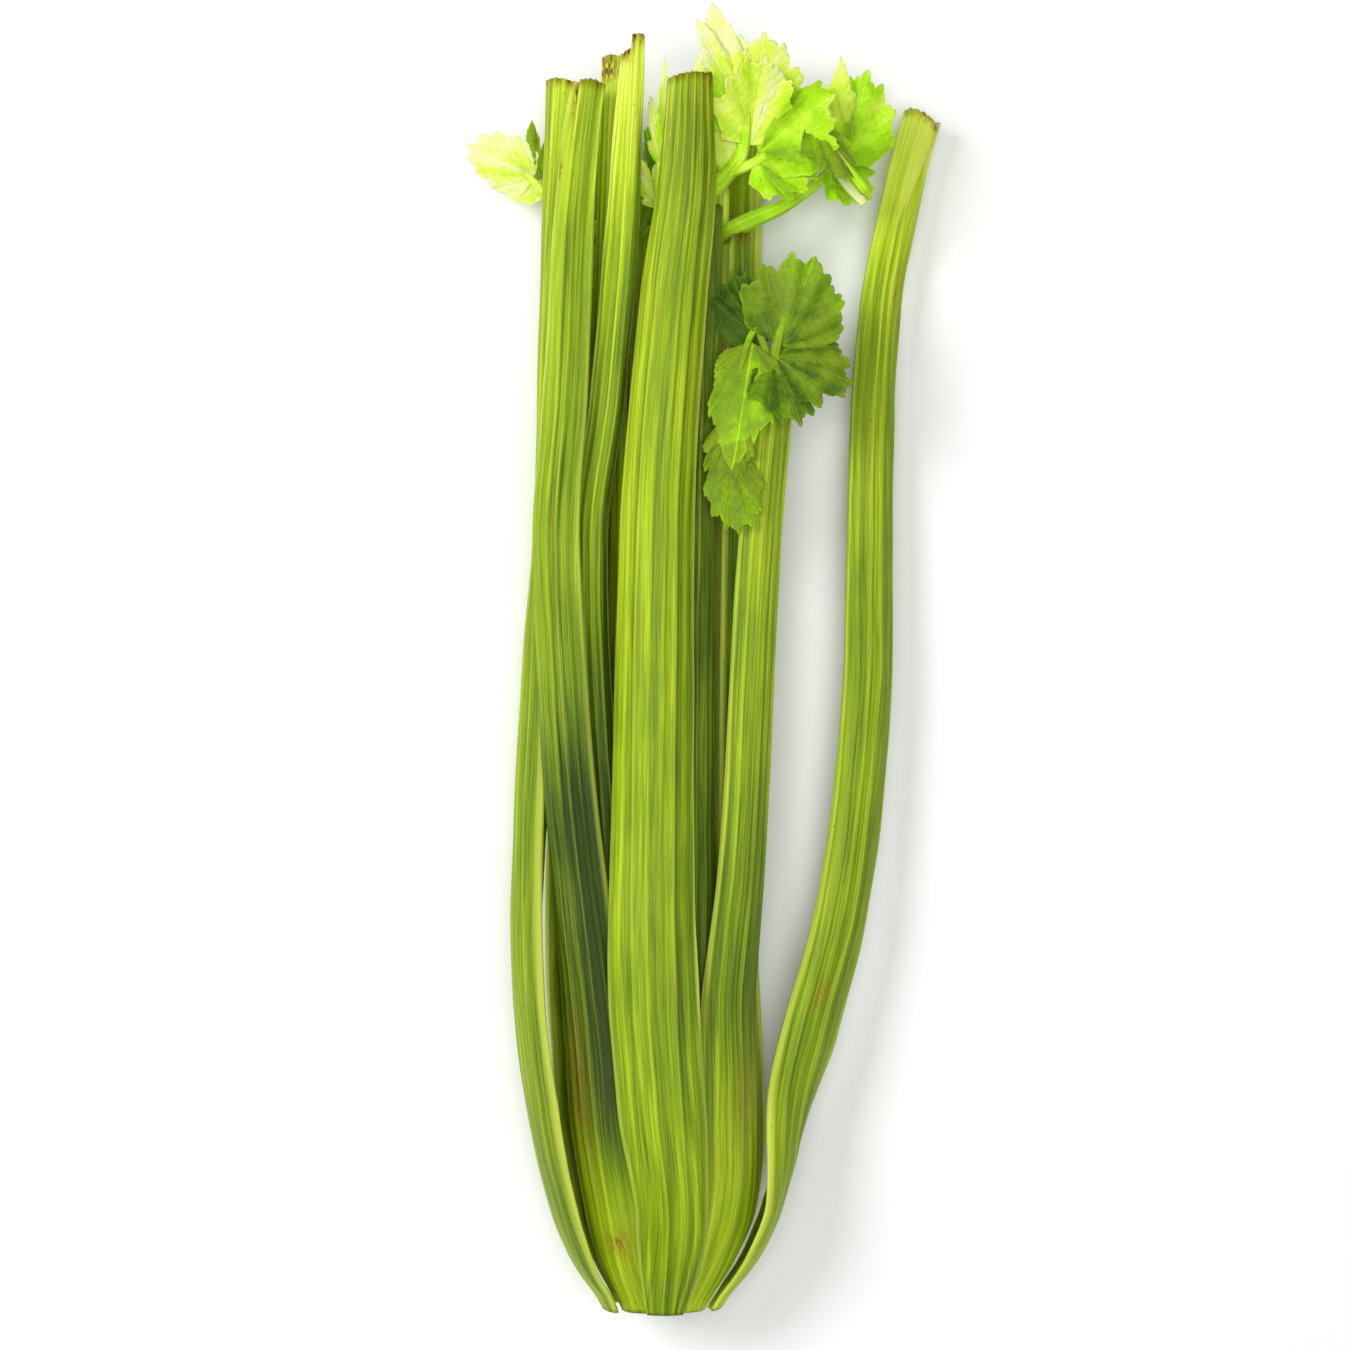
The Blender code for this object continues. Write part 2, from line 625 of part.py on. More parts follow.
def main():
    for old in list(bpy.data.objects):
        bpy.data.objects.remove(old)
    root_plate()
    for name in STALKS:
        stalk(name)
    for name in LEAVES:
        leaf(name)


main()
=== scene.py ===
"""The looks of a head of celery that lies on its back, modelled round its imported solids.

The head lies along Y, its cut butt at -Y and its leaf tips at +Y. Sizes are in millimetres and become metres
where a mesh is made. A height is measured along the head from the butt's cut face, and a share runs from -1
to 1 across a stalk's back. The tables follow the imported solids, but two stalks are a little wider half way
up, and the top of one of them is narrower.
"""

import math

import bpy
import numpy as np
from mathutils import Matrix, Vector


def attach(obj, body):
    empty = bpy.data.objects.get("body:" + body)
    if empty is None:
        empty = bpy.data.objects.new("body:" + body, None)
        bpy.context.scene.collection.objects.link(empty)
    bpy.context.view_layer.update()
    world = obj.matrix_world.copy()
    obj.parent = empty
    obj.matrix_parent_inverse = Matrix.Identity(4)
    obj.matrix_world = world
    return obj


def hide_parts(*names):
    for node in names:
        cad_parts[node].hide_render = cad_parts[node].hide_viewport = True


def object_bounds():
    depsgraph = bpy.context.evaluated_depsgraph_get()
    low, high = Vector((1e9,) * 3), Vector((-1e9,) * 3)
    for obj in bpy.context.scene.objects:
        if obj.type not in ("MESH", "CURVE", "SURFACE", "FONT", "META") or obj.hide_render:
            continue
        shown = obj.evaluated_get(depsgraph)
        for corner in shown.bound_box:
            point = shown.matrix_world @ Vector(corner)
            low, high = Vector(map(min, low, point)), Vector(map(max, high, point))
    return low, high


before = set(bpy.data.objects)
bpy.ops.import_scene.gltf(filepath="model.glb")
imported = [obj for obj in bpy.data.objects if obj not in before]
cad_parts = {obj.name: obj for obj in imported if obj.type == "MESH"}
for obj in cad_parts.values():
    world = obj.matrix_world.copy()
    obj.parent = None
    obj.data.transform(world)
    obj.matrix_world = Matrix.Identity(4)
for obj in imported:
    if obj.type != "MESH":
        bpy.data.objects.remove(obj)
cad_low, cad_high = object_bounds()

MM = 0.001
BUTT_Y = cad_low.y / MM

# The head's own axis, and the ring that the outer stalks' backs follow round it, by height.
AXIS_X = ((0, -12.6), (28, -11.4), (60, -13.4), (90, -14.5), (360, -10.8))
AXIS_Z = 27.0
RING = (
    (0, 14.8), (4, 17.0), (10, 21.2), (16, 24.6), (28, 29.2), (45, 32.4),
    (70, 34.2), (110, 34.4), (200, 33.6), (300, 34.2),
)
RING_WIDE, RING_DEEP = 1.12, 0.92

# How high the ribs stand on a stalk's back.
RIB_HEIGHT = 0.75

# A stalk's shape by kind, each value by height: its width as a share of its middle width, the half angle of
# its curved back, its thickness in the middle and at the edges, how sharply it thins towards the edges, and
# how far out it stands as a share of the ring. Last comes its number of ribs.
KINDS = {
    "outer": {
        "width": (
            (0, 0.74), (10, 1.1), (25, 1.45), (45, 1.5), (80, 1.3), (120, 1.1),
            (180, 1), (280, 0.86), (345, 0.8),
        ),
        "arc": ((0, 40), (25, 42), (60, 49), (120, 66), (200, 76), (345, 78)),
        "thick": ((0, 4.0), (30, 5.0), (80, 6.2), (200, 6.6), (345, 5.8)),
        "edge": ((0, 1.2), (60, 1.4), (150, 2.4), (345, 2.6)),
        "wing": ((0, 1.3), (60, 1.4), (150, 2.2)),
        "out": ((0, 1.0),),
        "ribs": 8,
    },
    "nested": {
        "width": (
            (0, 0.6), (10, 1), (25, 1.4), (45, 1.45), (80, 1.3), (120, 1.1),
            (180, 1), (280, 0.9), (345, 0.85),
        ),
        "arc": ((0, 66), (60, 64), (120, 66), (200, 74)),
        "thick": ((0, 2.9), (30, 3.9), (80, 5.4), (200, 6.2), (345, 5.4)),
        "edge": ((0, 1.2), (60, 1.4), (150, 2.2), (345, 2.4)),
        "wing": ((0, 1.3), (60, 1.4), (150, 2.2)),
        "out": ((0, 0.86), (80, 0.86), (150, 0.92), (345, 0.94)),
        "ribs": 8,
    },
    "inner": {
        "width": ((0, 0.6), (10, 0.66), (28, 1.0), (45, 1.08), (90, 1.06), (150, 1.0), (345, 0.9)),
        "arc": ((0, 50), (60, 56), (150, 68), (345, 70)),
        "thick": ((0, 2.8), (40, 4.2), (150, 5.4), (345, 4.8)),
        "edge": ((0, 1.2), (345, 2.0)),
        "wing": ((0, 1.5), (150, 2.2)),
        "out": ((0, 0.57), (12, 0.58), (30, 0.615), (80, 0.62)),
        "ribs": 6,
    },
    "heart": {
        "width": ((0, 0.9), (40, 1.1), (120, 1.0), (345, 0.8)),
        "arc": ((0, 50), (120, 64)),
        "thick": ((0, 3.2), (120, 4.6)),
        "edge": ((0, 1.2), (345, 1.6)),
        "wing": ((0, 1.6), (150, 2.2)),
        "out": ((0, 0.38), (345, 0.36)),
        "ribs": 4,
    },
}

# name: kind, azimuth round the axis in degrees from the front (+Z) towards +X, middle width, start, end, and
# what sets this stalk apart, by height: "wide", "arc" and "out" multiply its kind's values, "x" and "z" shift
# it, "turn" turns its back and "slant" is the slope of its cut top.
STALKS = {
    "stalk_front": (
        "outer", 3, 22.0, 0, 340,
        {
            "x": ((28, 0.3), (60, -0.8), (115, -2.4), (217, -2.2), (280, 1.2), (317, 4.3), (340, 4.6)),
            "wide": ((0, 0.66), (28, 0.64), (60, 0.8), (105, 1), (280, 1), (340, 0.7)),
            "arc": ((0, 0.78), (60, 0.85), (120, 1)),
            "slant": 0.12,
        },
    ),
    "stalk_left": (
        "outer", -78, 21.5, 0, 343,
        {
            "x": ((60, 0), (111, -2.2), (184, -0.6), (217, 1.2), (280, 2.6), (343, 4)),
            "z": ((90, 0), (150, -6), (190, -8.6), (230, -8.4), (280, -5.8), (343, -3.6)),
            "wide": ((0, 0.96), (60, 1), (95, 1.05), (145, 1.08), (200, 1.01)),
            "turn": ((60, -4), (115, -10), (200, -18), (280, -10), (343, 4)),
            "slant": -0.06,
        },
    ),
    "stalk_back_left": (
        "outer", -144, 19.5, 0, 338,
        {
            "out": ((0, 0.95), (60, 0.98), (90, 1)),
            "x": ((70, 0), (120, -1.8), (180, 0)),
            "wide": ((0, 0.86), (30, 0.88), (80, 1), (120, 1.1), (180, 0.98)),
            "turn": ((0, -4), (300, -12)),
            "slant": 0.12,
        },
    ),
    "stalk_back_right": (
        "outer", 144, 19.5, 0, 335,
        {
            "out": ((0, 0.95), (60, 0.98), (90, 1)),
            "wide": ((0, 0.84), (30, 0.88), (80, 0.98)),
            "turn": ((0, 4), (300, 12)),
            "slant": -0.1,
        },
    ),
    "stalk_right_splayed": (
        "outer", 89, 16.5, 0, 337,
        {
            "x": (
                (0, 0.2), (28, 0), (45, 1.6), (60, 4.4), (75, 9), (111, 18.5),
                (150, 24), (184, 26.3), (250, 25.8),
                (281, 27.2), (316, 33.2), (337, 38),
            ),
            "z": ((0, 1.1), (40, 1.2), (60, 0.4), (150, -6), (337, -14)),
            "wide": ((0, 1), (28, 1.05), (45, 1.02), (75, 1.2), (337, 1.12)),
            "turn": ((30, 0), (75, -38), (120, -42)),
            "slant": -0.2,
        },
    ),
    "stalk_front_left": (
        "nested", -38, 18.5, 0, 340,
        {
            "out": ((0, 0.995), (40, 0.985), (120, 0.9), (220, 0.92), (300, 0.98)),
            "x": (
                (0, 0.2), (60, -0.2), (115, -5), (170, -9.8),
                (214, -12), (252, -9.2), (316, -5.0), (340, -2.4),
            ),
            "z": ((115, 0), (160, 2), (214, 2.4), (252, 1.6), (316, -0.9)),
            "wide": ((0, 0.98), (60, 0.98), (110, 1.03), (180, 1.02), (230, 0.98), (290, 0.93), (340, 0.81)),
            "turn": ((60, 0), (150, -7)),
            "slant": 0.1,
        },
    ),
    "stalk_front_right": (
        "nested", 50, 17.5, 0, 250,
        {"out": ((0, 0.98), (60, 0.97), (120, 1)), "x": ((90, 0), (217, 5), (250, 6.8))},
    ),
    "stalk_back": (
        "nested", 180, 16.0, 0, 331,
        {"out": ((0, 0.95), (60, 0.96), (120, 0.94)), "wide": ((0, 0.6), (20, 0.72), (60, 0.92))},
    ),
    "stalk_inner_tall": (
        "inner", -22, 11.5, 10, 352,
        {
            "x": (
                (0, 0.7), (40, 1.3), (80, -1), (115, -4.6),
                (214, -11), (252, -6.7), (317, -2.4), (352, -1),
            ),
            "z": ((0, -0.3), (40, -0.5), (90, 0.2), (115, 0), (214, 1.4), (252, 3.9), (317, 5.4)),
            "wide": ((300, 1), (352, 0.66)),
        },
    ),
    "stalk_inner_left": (
        "inner", -66, 10.8, 10, 349,
        {
            "out": ((0, 0.96), (30, 0.95), (120, 0.94)),
            "x": ((200, 0), (345, 3)),
            "wide": ((0, 1.1), (40, 1)),
        },
    ),
    "stalk_inner_right": ("inner", 32, 13.6, 10, 307, {"out": ((0, 0.98), (60, 1))}),
    "stalk_inner_far_right": (
        "inner", 83, 14.5, 10, 300,
        {"out": ((0, 0.97), (60, 1)), "wide": ((0, 0.94), (60, 1))},
    ),
    "stalk_inner_back_right": (
        "inner", 137, 14.5, 10, 316,
        {"out": ((0, 0.98),), "wide": ((0, 0.94), (60, 0.98))},
    ),
    "stalk_inner_back_left": ("inner", -170, 14.5, 10, 321, {"out": ((0, 0.96), (60, 0.93), (200, 0.95))}),
    "stalk_inner_far_left": ("inner", -120, 14.5, 10, 300, {}),
    "heart_front": ("heart", 6, 12.0, 18, 262, {}),
    "heart_right": ("heart", 100, 12.0, 18, 240, {}),
    "heart_back": ("heart", -170, 12.0, 18, 290, {}),
    "heart_left": ("heart", -82, 12.0, 18, 275, {}),
}

# The root plate's side as (radius, height) points.
ROOT_PLATE = ((8.0, 0), (9.4, 3), (10.2, 6), (8.6, 9), (6.6, 12), (4.2, 15), (1.5, 17))

# A leaflet's outline by style: how far it reaches, as a share of its length, by degrees off its midrib.
OUTLINES = {
    "lobed": (
        (0, 1.0), (7, 0.86), (15, 0.68), (22, 0.5), (29, 0.74), (36, 0.82), (45, 0.66), (55, 0.4), (64, 0.52),
        (80, 0.22),
    ),
    "scalloped": (
        (0, 1.0), (8, 0.9), (16, 0.97), (24, 0.82), (33, 0.9), (42, 0.74), (52, 0.76), (63, 0.52), (80, 0.24),
    ),
    "broad": (
        (0, 1.0), (9, 0.91), (18, 0.97), (28, 0.84), (38, 0.92), (49, 0.78), (60, 0.82), (73, 0.6),
        (86, 0.46),
    ),
    "pointed": ((0, 1.0), (7, 0.84), (14, 0.66), (20, 0.62), (28, 0.44), (40, 0.34), (62, 0.18)),
}

# name: how light its stems are, its stems as (x, height, z, radius) knots, and its leaflets. A leaflet is its
# style, its base and tip as (x, height, z), which way it faces, its width as a share, its bend from base to
# tip in degrees, its fold along the midrib, and how light its base and tip are. How light is partly a leaf's
# own tone and partly painted shade: leaf_front_right hangs in shade and is drawn dark for it.
LEAVES = {
    "leaf_top": (
        0.72,
        (
            ((0.5, 309.4, 41.6, 2.4), (5, 313.8, 43.8, 2.2), (9.5, 320, 46, 1.8), (11, 331, 48.2, 1.1)),
            (
                (6, 314.5, 43.8, 1.6), (15, 318.5, 45.8, 1.3), (27, 327, 48.6, 1.1), (34.5, 319, 51.2, 1.2),
                (43.2, 308.6, 51, 1.5),
            ),
        ),
        (
            ("pointed", (7.6, 325, 46.4), (1.2, 359.9, 54.4), (0, -0.2, 1), 1.0, 16, 0.1, 0.74, 1.02),
            ("pointed", (8.4, 333, 48.2), (-2.6, 354.6, 54.4), (0, -0.3, 1), 0.8, 20, 0.1, 0.76, 1.04),
            ("broad", (10.5, 324, 46.8), (15.5, 352.5, 50.6), (0.2, -0.2, 1), 0.8, 14, 0.05, 0.7, 0.92),
            ("broad", (11.5, 322, 46.6), (15.6, 345, 56.4), (0.1, -0.5, 1), 0.66, -34, -0.2, 0.8, 0.86),
            ("broad", (14.5, 320, 46.2), (35, 334.5, 52), (-0.2, 0.1, 1), 0.8, 36, 0.12, 0.6, 0.66),
            ("scalloped", (29, 327.5, 49), (37.5, 310.5, 55), (0.5, 0.3, 1), 0.66, 26, 0.2, 0.42, 0.36),
            ("broad", (13, 318.5, 45.4), (30.5, 312.5, 46.4), (0.1, 0.2, 1), 0.8, 24, 0.1, 0.62, 0.68),
            ("pointed", (6.2, 314, 44.2), (3.4, 335, 45.8), (0, 0, 1), 0.8, 12, 0.1, 0.8, 0.95),
        ),
    ),
    "leaf_right": (
        0.68,
        (
            ((10, 302.8, 28.9, 2.4), (22, 308, 30.4, 1.9), (32, 315, 33.4, 1.4), (38.5, 323, 36.4, 1.0)),
        ),
        (
            ("broad", (37.5, 319, 35.2), (44.5, 343.5, 39.4), (0.2, -0.1, 1), 0.72, 24, 0.1, 0.62, 0.72),
            ("pointed", (37.5, 323, 35.9), (36.8, 347.2, 43.4), (0, -0.2, 1), 0.75, 10, 0.1, 0.66, 0.95),
            ("broad", (35, 318, 34.3), (45.8, 309, 33.4), (0.2, 0.3, 1), 0.85, 28, 0.1, 0.58, 0.62),
        ),
    ),
    # Painted shade: this leaf hangs in shade, so its stems and leaflets are set dark.
    "leaf_front_right": (
        0.45,
        (
            ((17.5, 251.6, 43.9, 2.2), (17.6, 258, 46.9, 1.9), (19, 267, 49.4, 1.4), (21, 275, 50.4, 1.0)),
            (
                (17.5, 260, 47.4, 1.2), (13.5, 271, 49.6, 1.0), (9.5, 262, 51.2, 0.9), (7, 246, 51.2, 0.9),
                (5.4, 230, 50.4, 0.8),
            ),
        ),
        (
            ("broad", (18.6, 264, 49.2), (40.2, 256.5, 47.2), (0.3, 0.2, 1), 0.72, 30, 0.12, 0.22, 0.3),
            ("broad", (19.4, 267, 49.6), (29.5, 291, 50.6), (0.1, -0.2, 1), 0.85, 20, 0.1, 0.24, 0.44),
            ("broad", (18, 263, 48.4), (25.5, 244.5, 53.2), (0.4, 0.3, 1), 0.75, 20, 0.12, 0.2, 0.26),
            ("broad", (14.6, 267, 48.6), (6.5, 287.5, 46.6), (0, 0, 1), 0.6, 10, 0.1, 0.06, 0.12),
            ("pointed", (12.3, 267.5, 50.6), (6.6, 232, 52.2), (0.1, 0.2, 1), 1.2, 15, 0.12, 0.38, 0.5),
            ("scalloped", (7.6, 247, 51.4), (3.4, 226, 51.6), (0, 0.1, 1), 0.56, 14, 0.1, 0.3, 0.4),
            ("broad", (6.4, 235, 51.2), (8.6, 215, 52.6), (0.1, 0.2, 1), 0.6, 20, 0.14, 0.34, 0.46),
        ),
    ),
    "leaf_left": (
        0.85,
        (
            (
                (-31, 302.5, 18.9, 2.2), (-40, 308, 16.3, 1.6), (-47.5, 315, 17.2, 1.3),
                (-53, 320.5, 19.0, 1.0),
            ),
        ),
        (
            ("broad", (-48.5, 318, 18), (-67.7, 326.6, 21.4), (-0.1, 0, 1), 0.56, 26, 0.1, 0.92, 1.0),
            ("lobed", (-48.5, 317, 17.6), (-49.2, 334.5, 18.6), (0, 0, 1), 0.6, 16, 0.1, 0.34, 0.42),
            ("broad", (-46, 314, 16.9), (-58, 313.5, 18.2), (-0.1, 0.2, 1), 0.5, 20, 0.1, 0.88, 0.97),
        ),
    ),
    "leaf_heart_front": (
        0.8,
        (
            (
                (-10.5, 262.7, 37.4, 1.9), (-12, 285, 38.9, 1.5), (-13.2, 306, 41.4, 1.1),
                (-13, 318, 43.4, 0.9),
            ),
        ),
        (
            ("lobed", (-12.4, 317, 43.0), (-11.4, 346, 46.4), (0, -0.1, 1), 0.33, 14, 0.1, 0.8, 0.9),
            ("lobed", (-12.6, 296, 40.4), (-3, 312, 37.4), (0.1, 0, 1), 0.55, 16, 0.1, 0.6, 0.7),
            ("lobed", (-13.2, 306, 41.4), (-20, 322, 35.4), (-0.3, 0, 1), 0.5, 16, 0.1, 0.85, 0.95),
        ),
    ),
    "leaf_heart_back": (
        0.5,
        (
            ((-12.5, 290.7, 16.4, 1.9), (-12.5, 305, 17.4, 1.4), (-12, 316, 19.4, 1.0)),
        ),
        (
            ("lobed", (-12, 314, 18.9), (-9, 340, 23.4), (0, -0.2, 1), 0.6, 20, 0.1, 0.5, 0.6),
            ("lobed", (-12.5, 305, 17.4), (-23, 318, 21.4), (-0.2, 0, 1), 0.55, 18, 0.1, 0.5, 0.6),
            ("lobed", (-12.5, 307, 17.9), (-1.5, 320, 21.4), (0.2, 0, 1), 0.55, 18, 0.1, 0.45, 0.6),
        ),
    ),
    "leaf_heart_left": (
        0.4,
        (
            ((-22.5, 275.7, 28.4, 1.8), (-21, 290, 28.4, 1.3), (-20, 300, 28.9, 0.9)),
        ),
        (
            ("lobed", (-20, 298, 28.7), (-18, 318, 29.4), (-0.6, 0, 1), 0.5, 14, 0.1, 0.4, 0.5),
        ),
    ),
    "leaf_heart_right": (
        0.3,
        (
            ((0.5, 240.7, 25.4, 1.8), (-1, 262, 25.4, 1.3), (-2.5, 280, 25.9, 0.9)),
        ),
        (
            ("lobed", (-2.5, 278, 25.8), (-4, 300, 26.4), (0.6, 0, 1), 0.5, 14, 0.1, 0.25, 0.35),
        ),
    ),
}

# How far each stalk's cut top lies below its end, as (share, drop) points.
TOPS = {
    "stalk_front": ((-1, 2.2), (-0.8, 0.6), (0, 0), (0.55, 0.3), (0.8, 0), (1, 1.6)),
    "stalk_left": ((-1, 1.5), (-0.7, 0.3), (0, 0), (0.6, 0.4), (1, 2.0)),
    "stalk_front_left": ((-1, 2.5), (-0.75, 0.7), (-0.3, 0), (-0.1, 1.4), (0.1, 0.2), (0.5, 0.6), (1, 3.0)),
    "stalk_right_splayed": ((-1, 1.5), (-0.7, 0), (-0.1, 1.6), (0.12, 3.4), (0.3, 1.8), (0.8, 1.0), (1, 3.2)),
    "stalk_inner_tall": ((-1, 5.6), (-0.5, 4.6), (-0.15, 4.2), (0.02, 3.6), (0.1, 0.3), (0.7, 0), (1, 1.2)),
    "stalk_inner_left": ((-1, 3.8), (-0.6, 1.2), (-0.2, 0.3), (0.4, 0), (1, 0.8)),
}
PLAIN_TOP = ((-1, 1.2), (-0.5, 0), (0.5, 0.2), (1, 1.0))

# How light a stalk's green is, from 0 for deep olive green to 1 for bright yellow-green, by height. It is
# partly the stalk's own tone and partly painted shade: the inner stalks below their tops, stalk_front_left
# from about
# 50 to 170 and stalk_front_right near 90 are set darker where they lie recessed in shade.
STALK_TONE_AND_SHADE = {
    "stalk_front": (
        (0, 0.42), (40, 0.46), (100, 0.44), (160, 0.5), (230, 0.56), (290, 0.48), (320, 0.42), (340, 0.52),
    ),
    "stalk_left": ((0, 0.66), (50, 0.5), (140, 0.6), (220, 0.72), (310, 0.8), (343, 0.9)),
    "stalk_front_left": (
        (0, 0.62), (30, 0.5), (70, 0.12), (130, 0.04), (180, 0.4), (230, 0.52), (300, 0.6), (340, 0.7),
    ),
    "stalk_front_right": ((0, 0.72), (40, 0.54), (90, 0.32), (160, 0.46), (250, 0.56)),
    "stalk_right_splayed": (
        (0, 0.72), (40, 0.52), (120, 0.44), (250, 0.5), (285, 0.6), (310, 0.85), (337, 1.05),
    ),
    "stalk_inner_tall": ((0, 0.1), (130, 0.06), (190, 0.3), (250, 0.4), (300, 0.58), (352, 0.88)),
    "stalk_inner_left": ((0, 0.1), (250, 0.2), (295, 0.5), (320, 0.72), (349, 0.85)),
    "stalk_inner_right": ((0, 0.1), (307, 0.2)),
    "stalk_inner_far_right": ((0, 0.1), (300, 0.26)),
}
PLAIN_LIGHTNESS = ((0, 0.45), (200, 0.5), (345, 0.66))

# Painted light and shade: how much lighter a stalk is painted at its left edge, towards the key light, and
# darker at its right one, in shade, than in its middle.
PAINTED_SIDE_SHADING = {"stalk_left": 0.2, "stalk_front_left": 0.16, "stalk_inner_tall": 0.1, "stalk_front": 0.07}

# Bold pale ribs, or furrows where the strength is negative, that run along part of a stalk's back; a furrow
# is also darkened as painted shade, most along edges that lie under a neighbour:
# (share, half width as a share, from height, to height, strength).
LINES = {
    "stalk_front": (
        (-0.78, 0.05, 296, 340, 1.1), (-0.55, 0.045, 292, 340, 1.0), (-0.3, 0.04, 300, 340, 0.9),
        (-0.44, 0.04, 305, 340, -0.6), (-0.2, 0.05, 300, 340, -0.4), (0.88, 0.06, 60, 300, 1.2),
        (-0.99, 0.07, 60, 300, -1.4),
    ),
    "stalk_left": ((-0.75, 0.06, 120, 343, 1.0), (-0.3, 0.06, 200, 343, 0.9), (0.12, 0.25, 180, 343, -0.8)),
    "stalk_front_left": (
        (-0.64, 0.07, 190, 340, 1.5), (-0.3, 0.04, 250, 340, 0.4), (0.35, 0.05, 240, 340, 0.3),
        (0.74, 0.12, 60, 320, -0.6), (0.5, 0.04, 60, 300, -0.7), (0.2, 0.035, 120, 320, -0.5),
    ),
    "stalk_inner_tall": (
        (-0.86, 0.1, 180, 352, 1.5), (-0.35, 0.06, 270, 352, 0.6), (0.05, 0.07, 290, 352, 0.7),
        (0.45, 0.07, 280, 352, 0.6), (-0.15, 0.06, 270, 352, -0.35), (0.25, 0.06, 270, 352, -0.35),
        (0.95, 0.25, 120, 320, -1.5),
    ),
    "stalk_front_right": (
        (-0.62, 0.05, 90, 250, 0.7), (-0.3, 0.04, 90, 250, 0.8), (0.02, 0.04, 90, 250, 0.7),
        (0.36, 0.05, 90, 250, 0.6), (0.85, 0.12, 90, 250, -0.5),
    ),
    "stalk_right_splayed": ((-0.7, 0.05, 60, 300, 0.5), (0.1, 0.05, 60, 280, 0.3)),
}

# A crease across a stalk's back where its top forks: from one (share, height) to another, and its half width.
CREASES = {"stalk_right_splayed": ((-0.42, 306), (0.2, 334), 0.09)}

# Brown or rusty marks on a stalk, as (share, height, half width as a share, half length, strength).
MARKS = {
    "stalk_front": (
        (0.5, 326, 0.03, 12, 0.8), (0.15, 318, 0.02, 14, 0.7), (-0.55, 322, 0.03, 10, 0.6),
        (0.78, 337, 0.14, 4, 0.9), (-0.06, 326, 0.018, 12, 0.9), (0.3, 330, 0.02, 9, 0.9),
        (0.62, 318, 0.02, 12, 0.7), (-0.7, 333, 0.02, 6, 0.8), (-0.3, 190, 0.05, 9, 0.35),
        (0.4, 250, 0.04, 12, 0.3),
    ),
    "stalk_front_left": (
        (-0.05, 335, 0.14, 6, 1.2), (-0.6, 318, 0.12, 3, 1.1), (-0.35, 316, 0.09, 4, 0.9),
        (-0.48, 320, 0.03, 5, 0.9), (0.1, 325, 0.05, 6, 0.6), (-0.5, 322, 0.05, 8, 0.4),
        (0.3, 220, 0.06, 14, 0.4), (-0.2, 60, 0.3, 24, 0.5), (0.2, 21, 0.3, 3.5, 0.8),
    ),
    "stalk_left": (
        (-0.3, 340, 0.12, 3, 0.5), (0.2, 341, 0.06, 2, 0.6), (0.4, 318, 0.06, 9, 0.4),
        (0.1, 60, 0.06, 8, 0.4),
    ),
    "stalk_right_splayed": (
        (0.8, 334, 0.2, 3, 1.0), (0.0, 285, 0.1, 8, 0.5), (-0.4, 88, 0.14, 4, 0.7), (0.2, 104, 0.05, 18, 0.4),
    ),
    "stalk_inner_tall": ((-0.3, 347, 0.5, 2.4, 1.3), (0.15, 351, 0.16, 2.2, 1.1), (0.5, 330, 0.04, 8, 0.3)),
    "stalk_inner_left": ((0.2, 345, 0.9, 3.2, 1.3), (0.5, 347, 0.3, 4, 1.0), (-0.2, 336, 0.08, 6, 0.4)),
    "stalk_front_right": ((0.0, 60, 0.3, 14, 0.4), (0.3, 150, 0.05, 14, 0.4)),
}
PLAIN_MARKS = ((0.1, 90, 0.05, 10, 0.3), (-0.4, 200, 0.05, 12, 0.3))

# How finely stalks are drawn: columns across the back, rows along it, and layers across a cut end.
STALK_COLUMNS = {"outer": 97, "nested": 89, "inner": 61, "heart": 37}
STALK_ROWS = {"outer": 120, "nested": 110, "inner": 84, "heart": 50}
CUT_ROWS = 9

# The share from which a stalk's edge is rounded, and how much of its arc is drawn, to stay within its solid.
EDGE_ROUNDING, INSET = 0.9, 0.996

# How far below its cut a stalk's lowered top blends in, how late a slanted top leans, how rough the cut's
# edge is, and how deep its flesh has shrunk between the strings.
TOP_REACH, LEAN_POWER, TOP_ROUGHNESS, CUT_SINK = 3.2, 7.5, 0.16, 0.55

# Where the strings lie in a cut end, from the back (0) to the inside (1), and their half sizes.
STRING_DEPTH, STRING_DEEP, STRING_WIDE = 0.22, 0.12, 0.2


def curve(knots, height):
    """The value at this height of a smooth line through (height, value) knots, flat beyond its ends."""
    places = [k[0] for k in knots]
    values = [k[1] for k in knots]
    if height <= places[0]:
        return values[0]
    if height >= places[-1]:
        return values[-1]
    i = max(n for n in range(len(places) - 1) if places[n] <= height)
    gaps = np.diff(places)
    slopes = np.diff(values) / gaps

    def tangent(n):
        if n == 0:
            return slopes[0]
        if n == len(places) - 1:
            return slopes[-1]
        if slopes[n - 1] * slopes[n] <= 0:
            return 0.0
        return 2 * slopes[n - 1] * slopes[n] / (slopes[n - 1] + slopes[n])

    u = (height - places[i]) / gaps[i]
    return (
        (1 + 2 * u) * (1 - u) ** 2 * values[i]
        + u * (1 - u) ** 2 * gaps[i] * tangent(i)
        + u * u * (3 - 2 * u) * values[i + 1]
        + u * u * (u - 1) * gaps[i] * tangent(i + 1)
    )


def heading(degrees):
    """The unit vector in the XZ plane at this azimuth from the front (+Z) towards +X."""
    return np.array([math.sin(math.radians(degrees)), math.cos(math.radians(degrees))])


def smooth(low, high, value):
    """0 below low, 1 above high and smooth between."""
    t = np.clip((np.asarray(value, float) - low) / (high - low), 0, 1)
    return t * t * (3 - 2 * t)


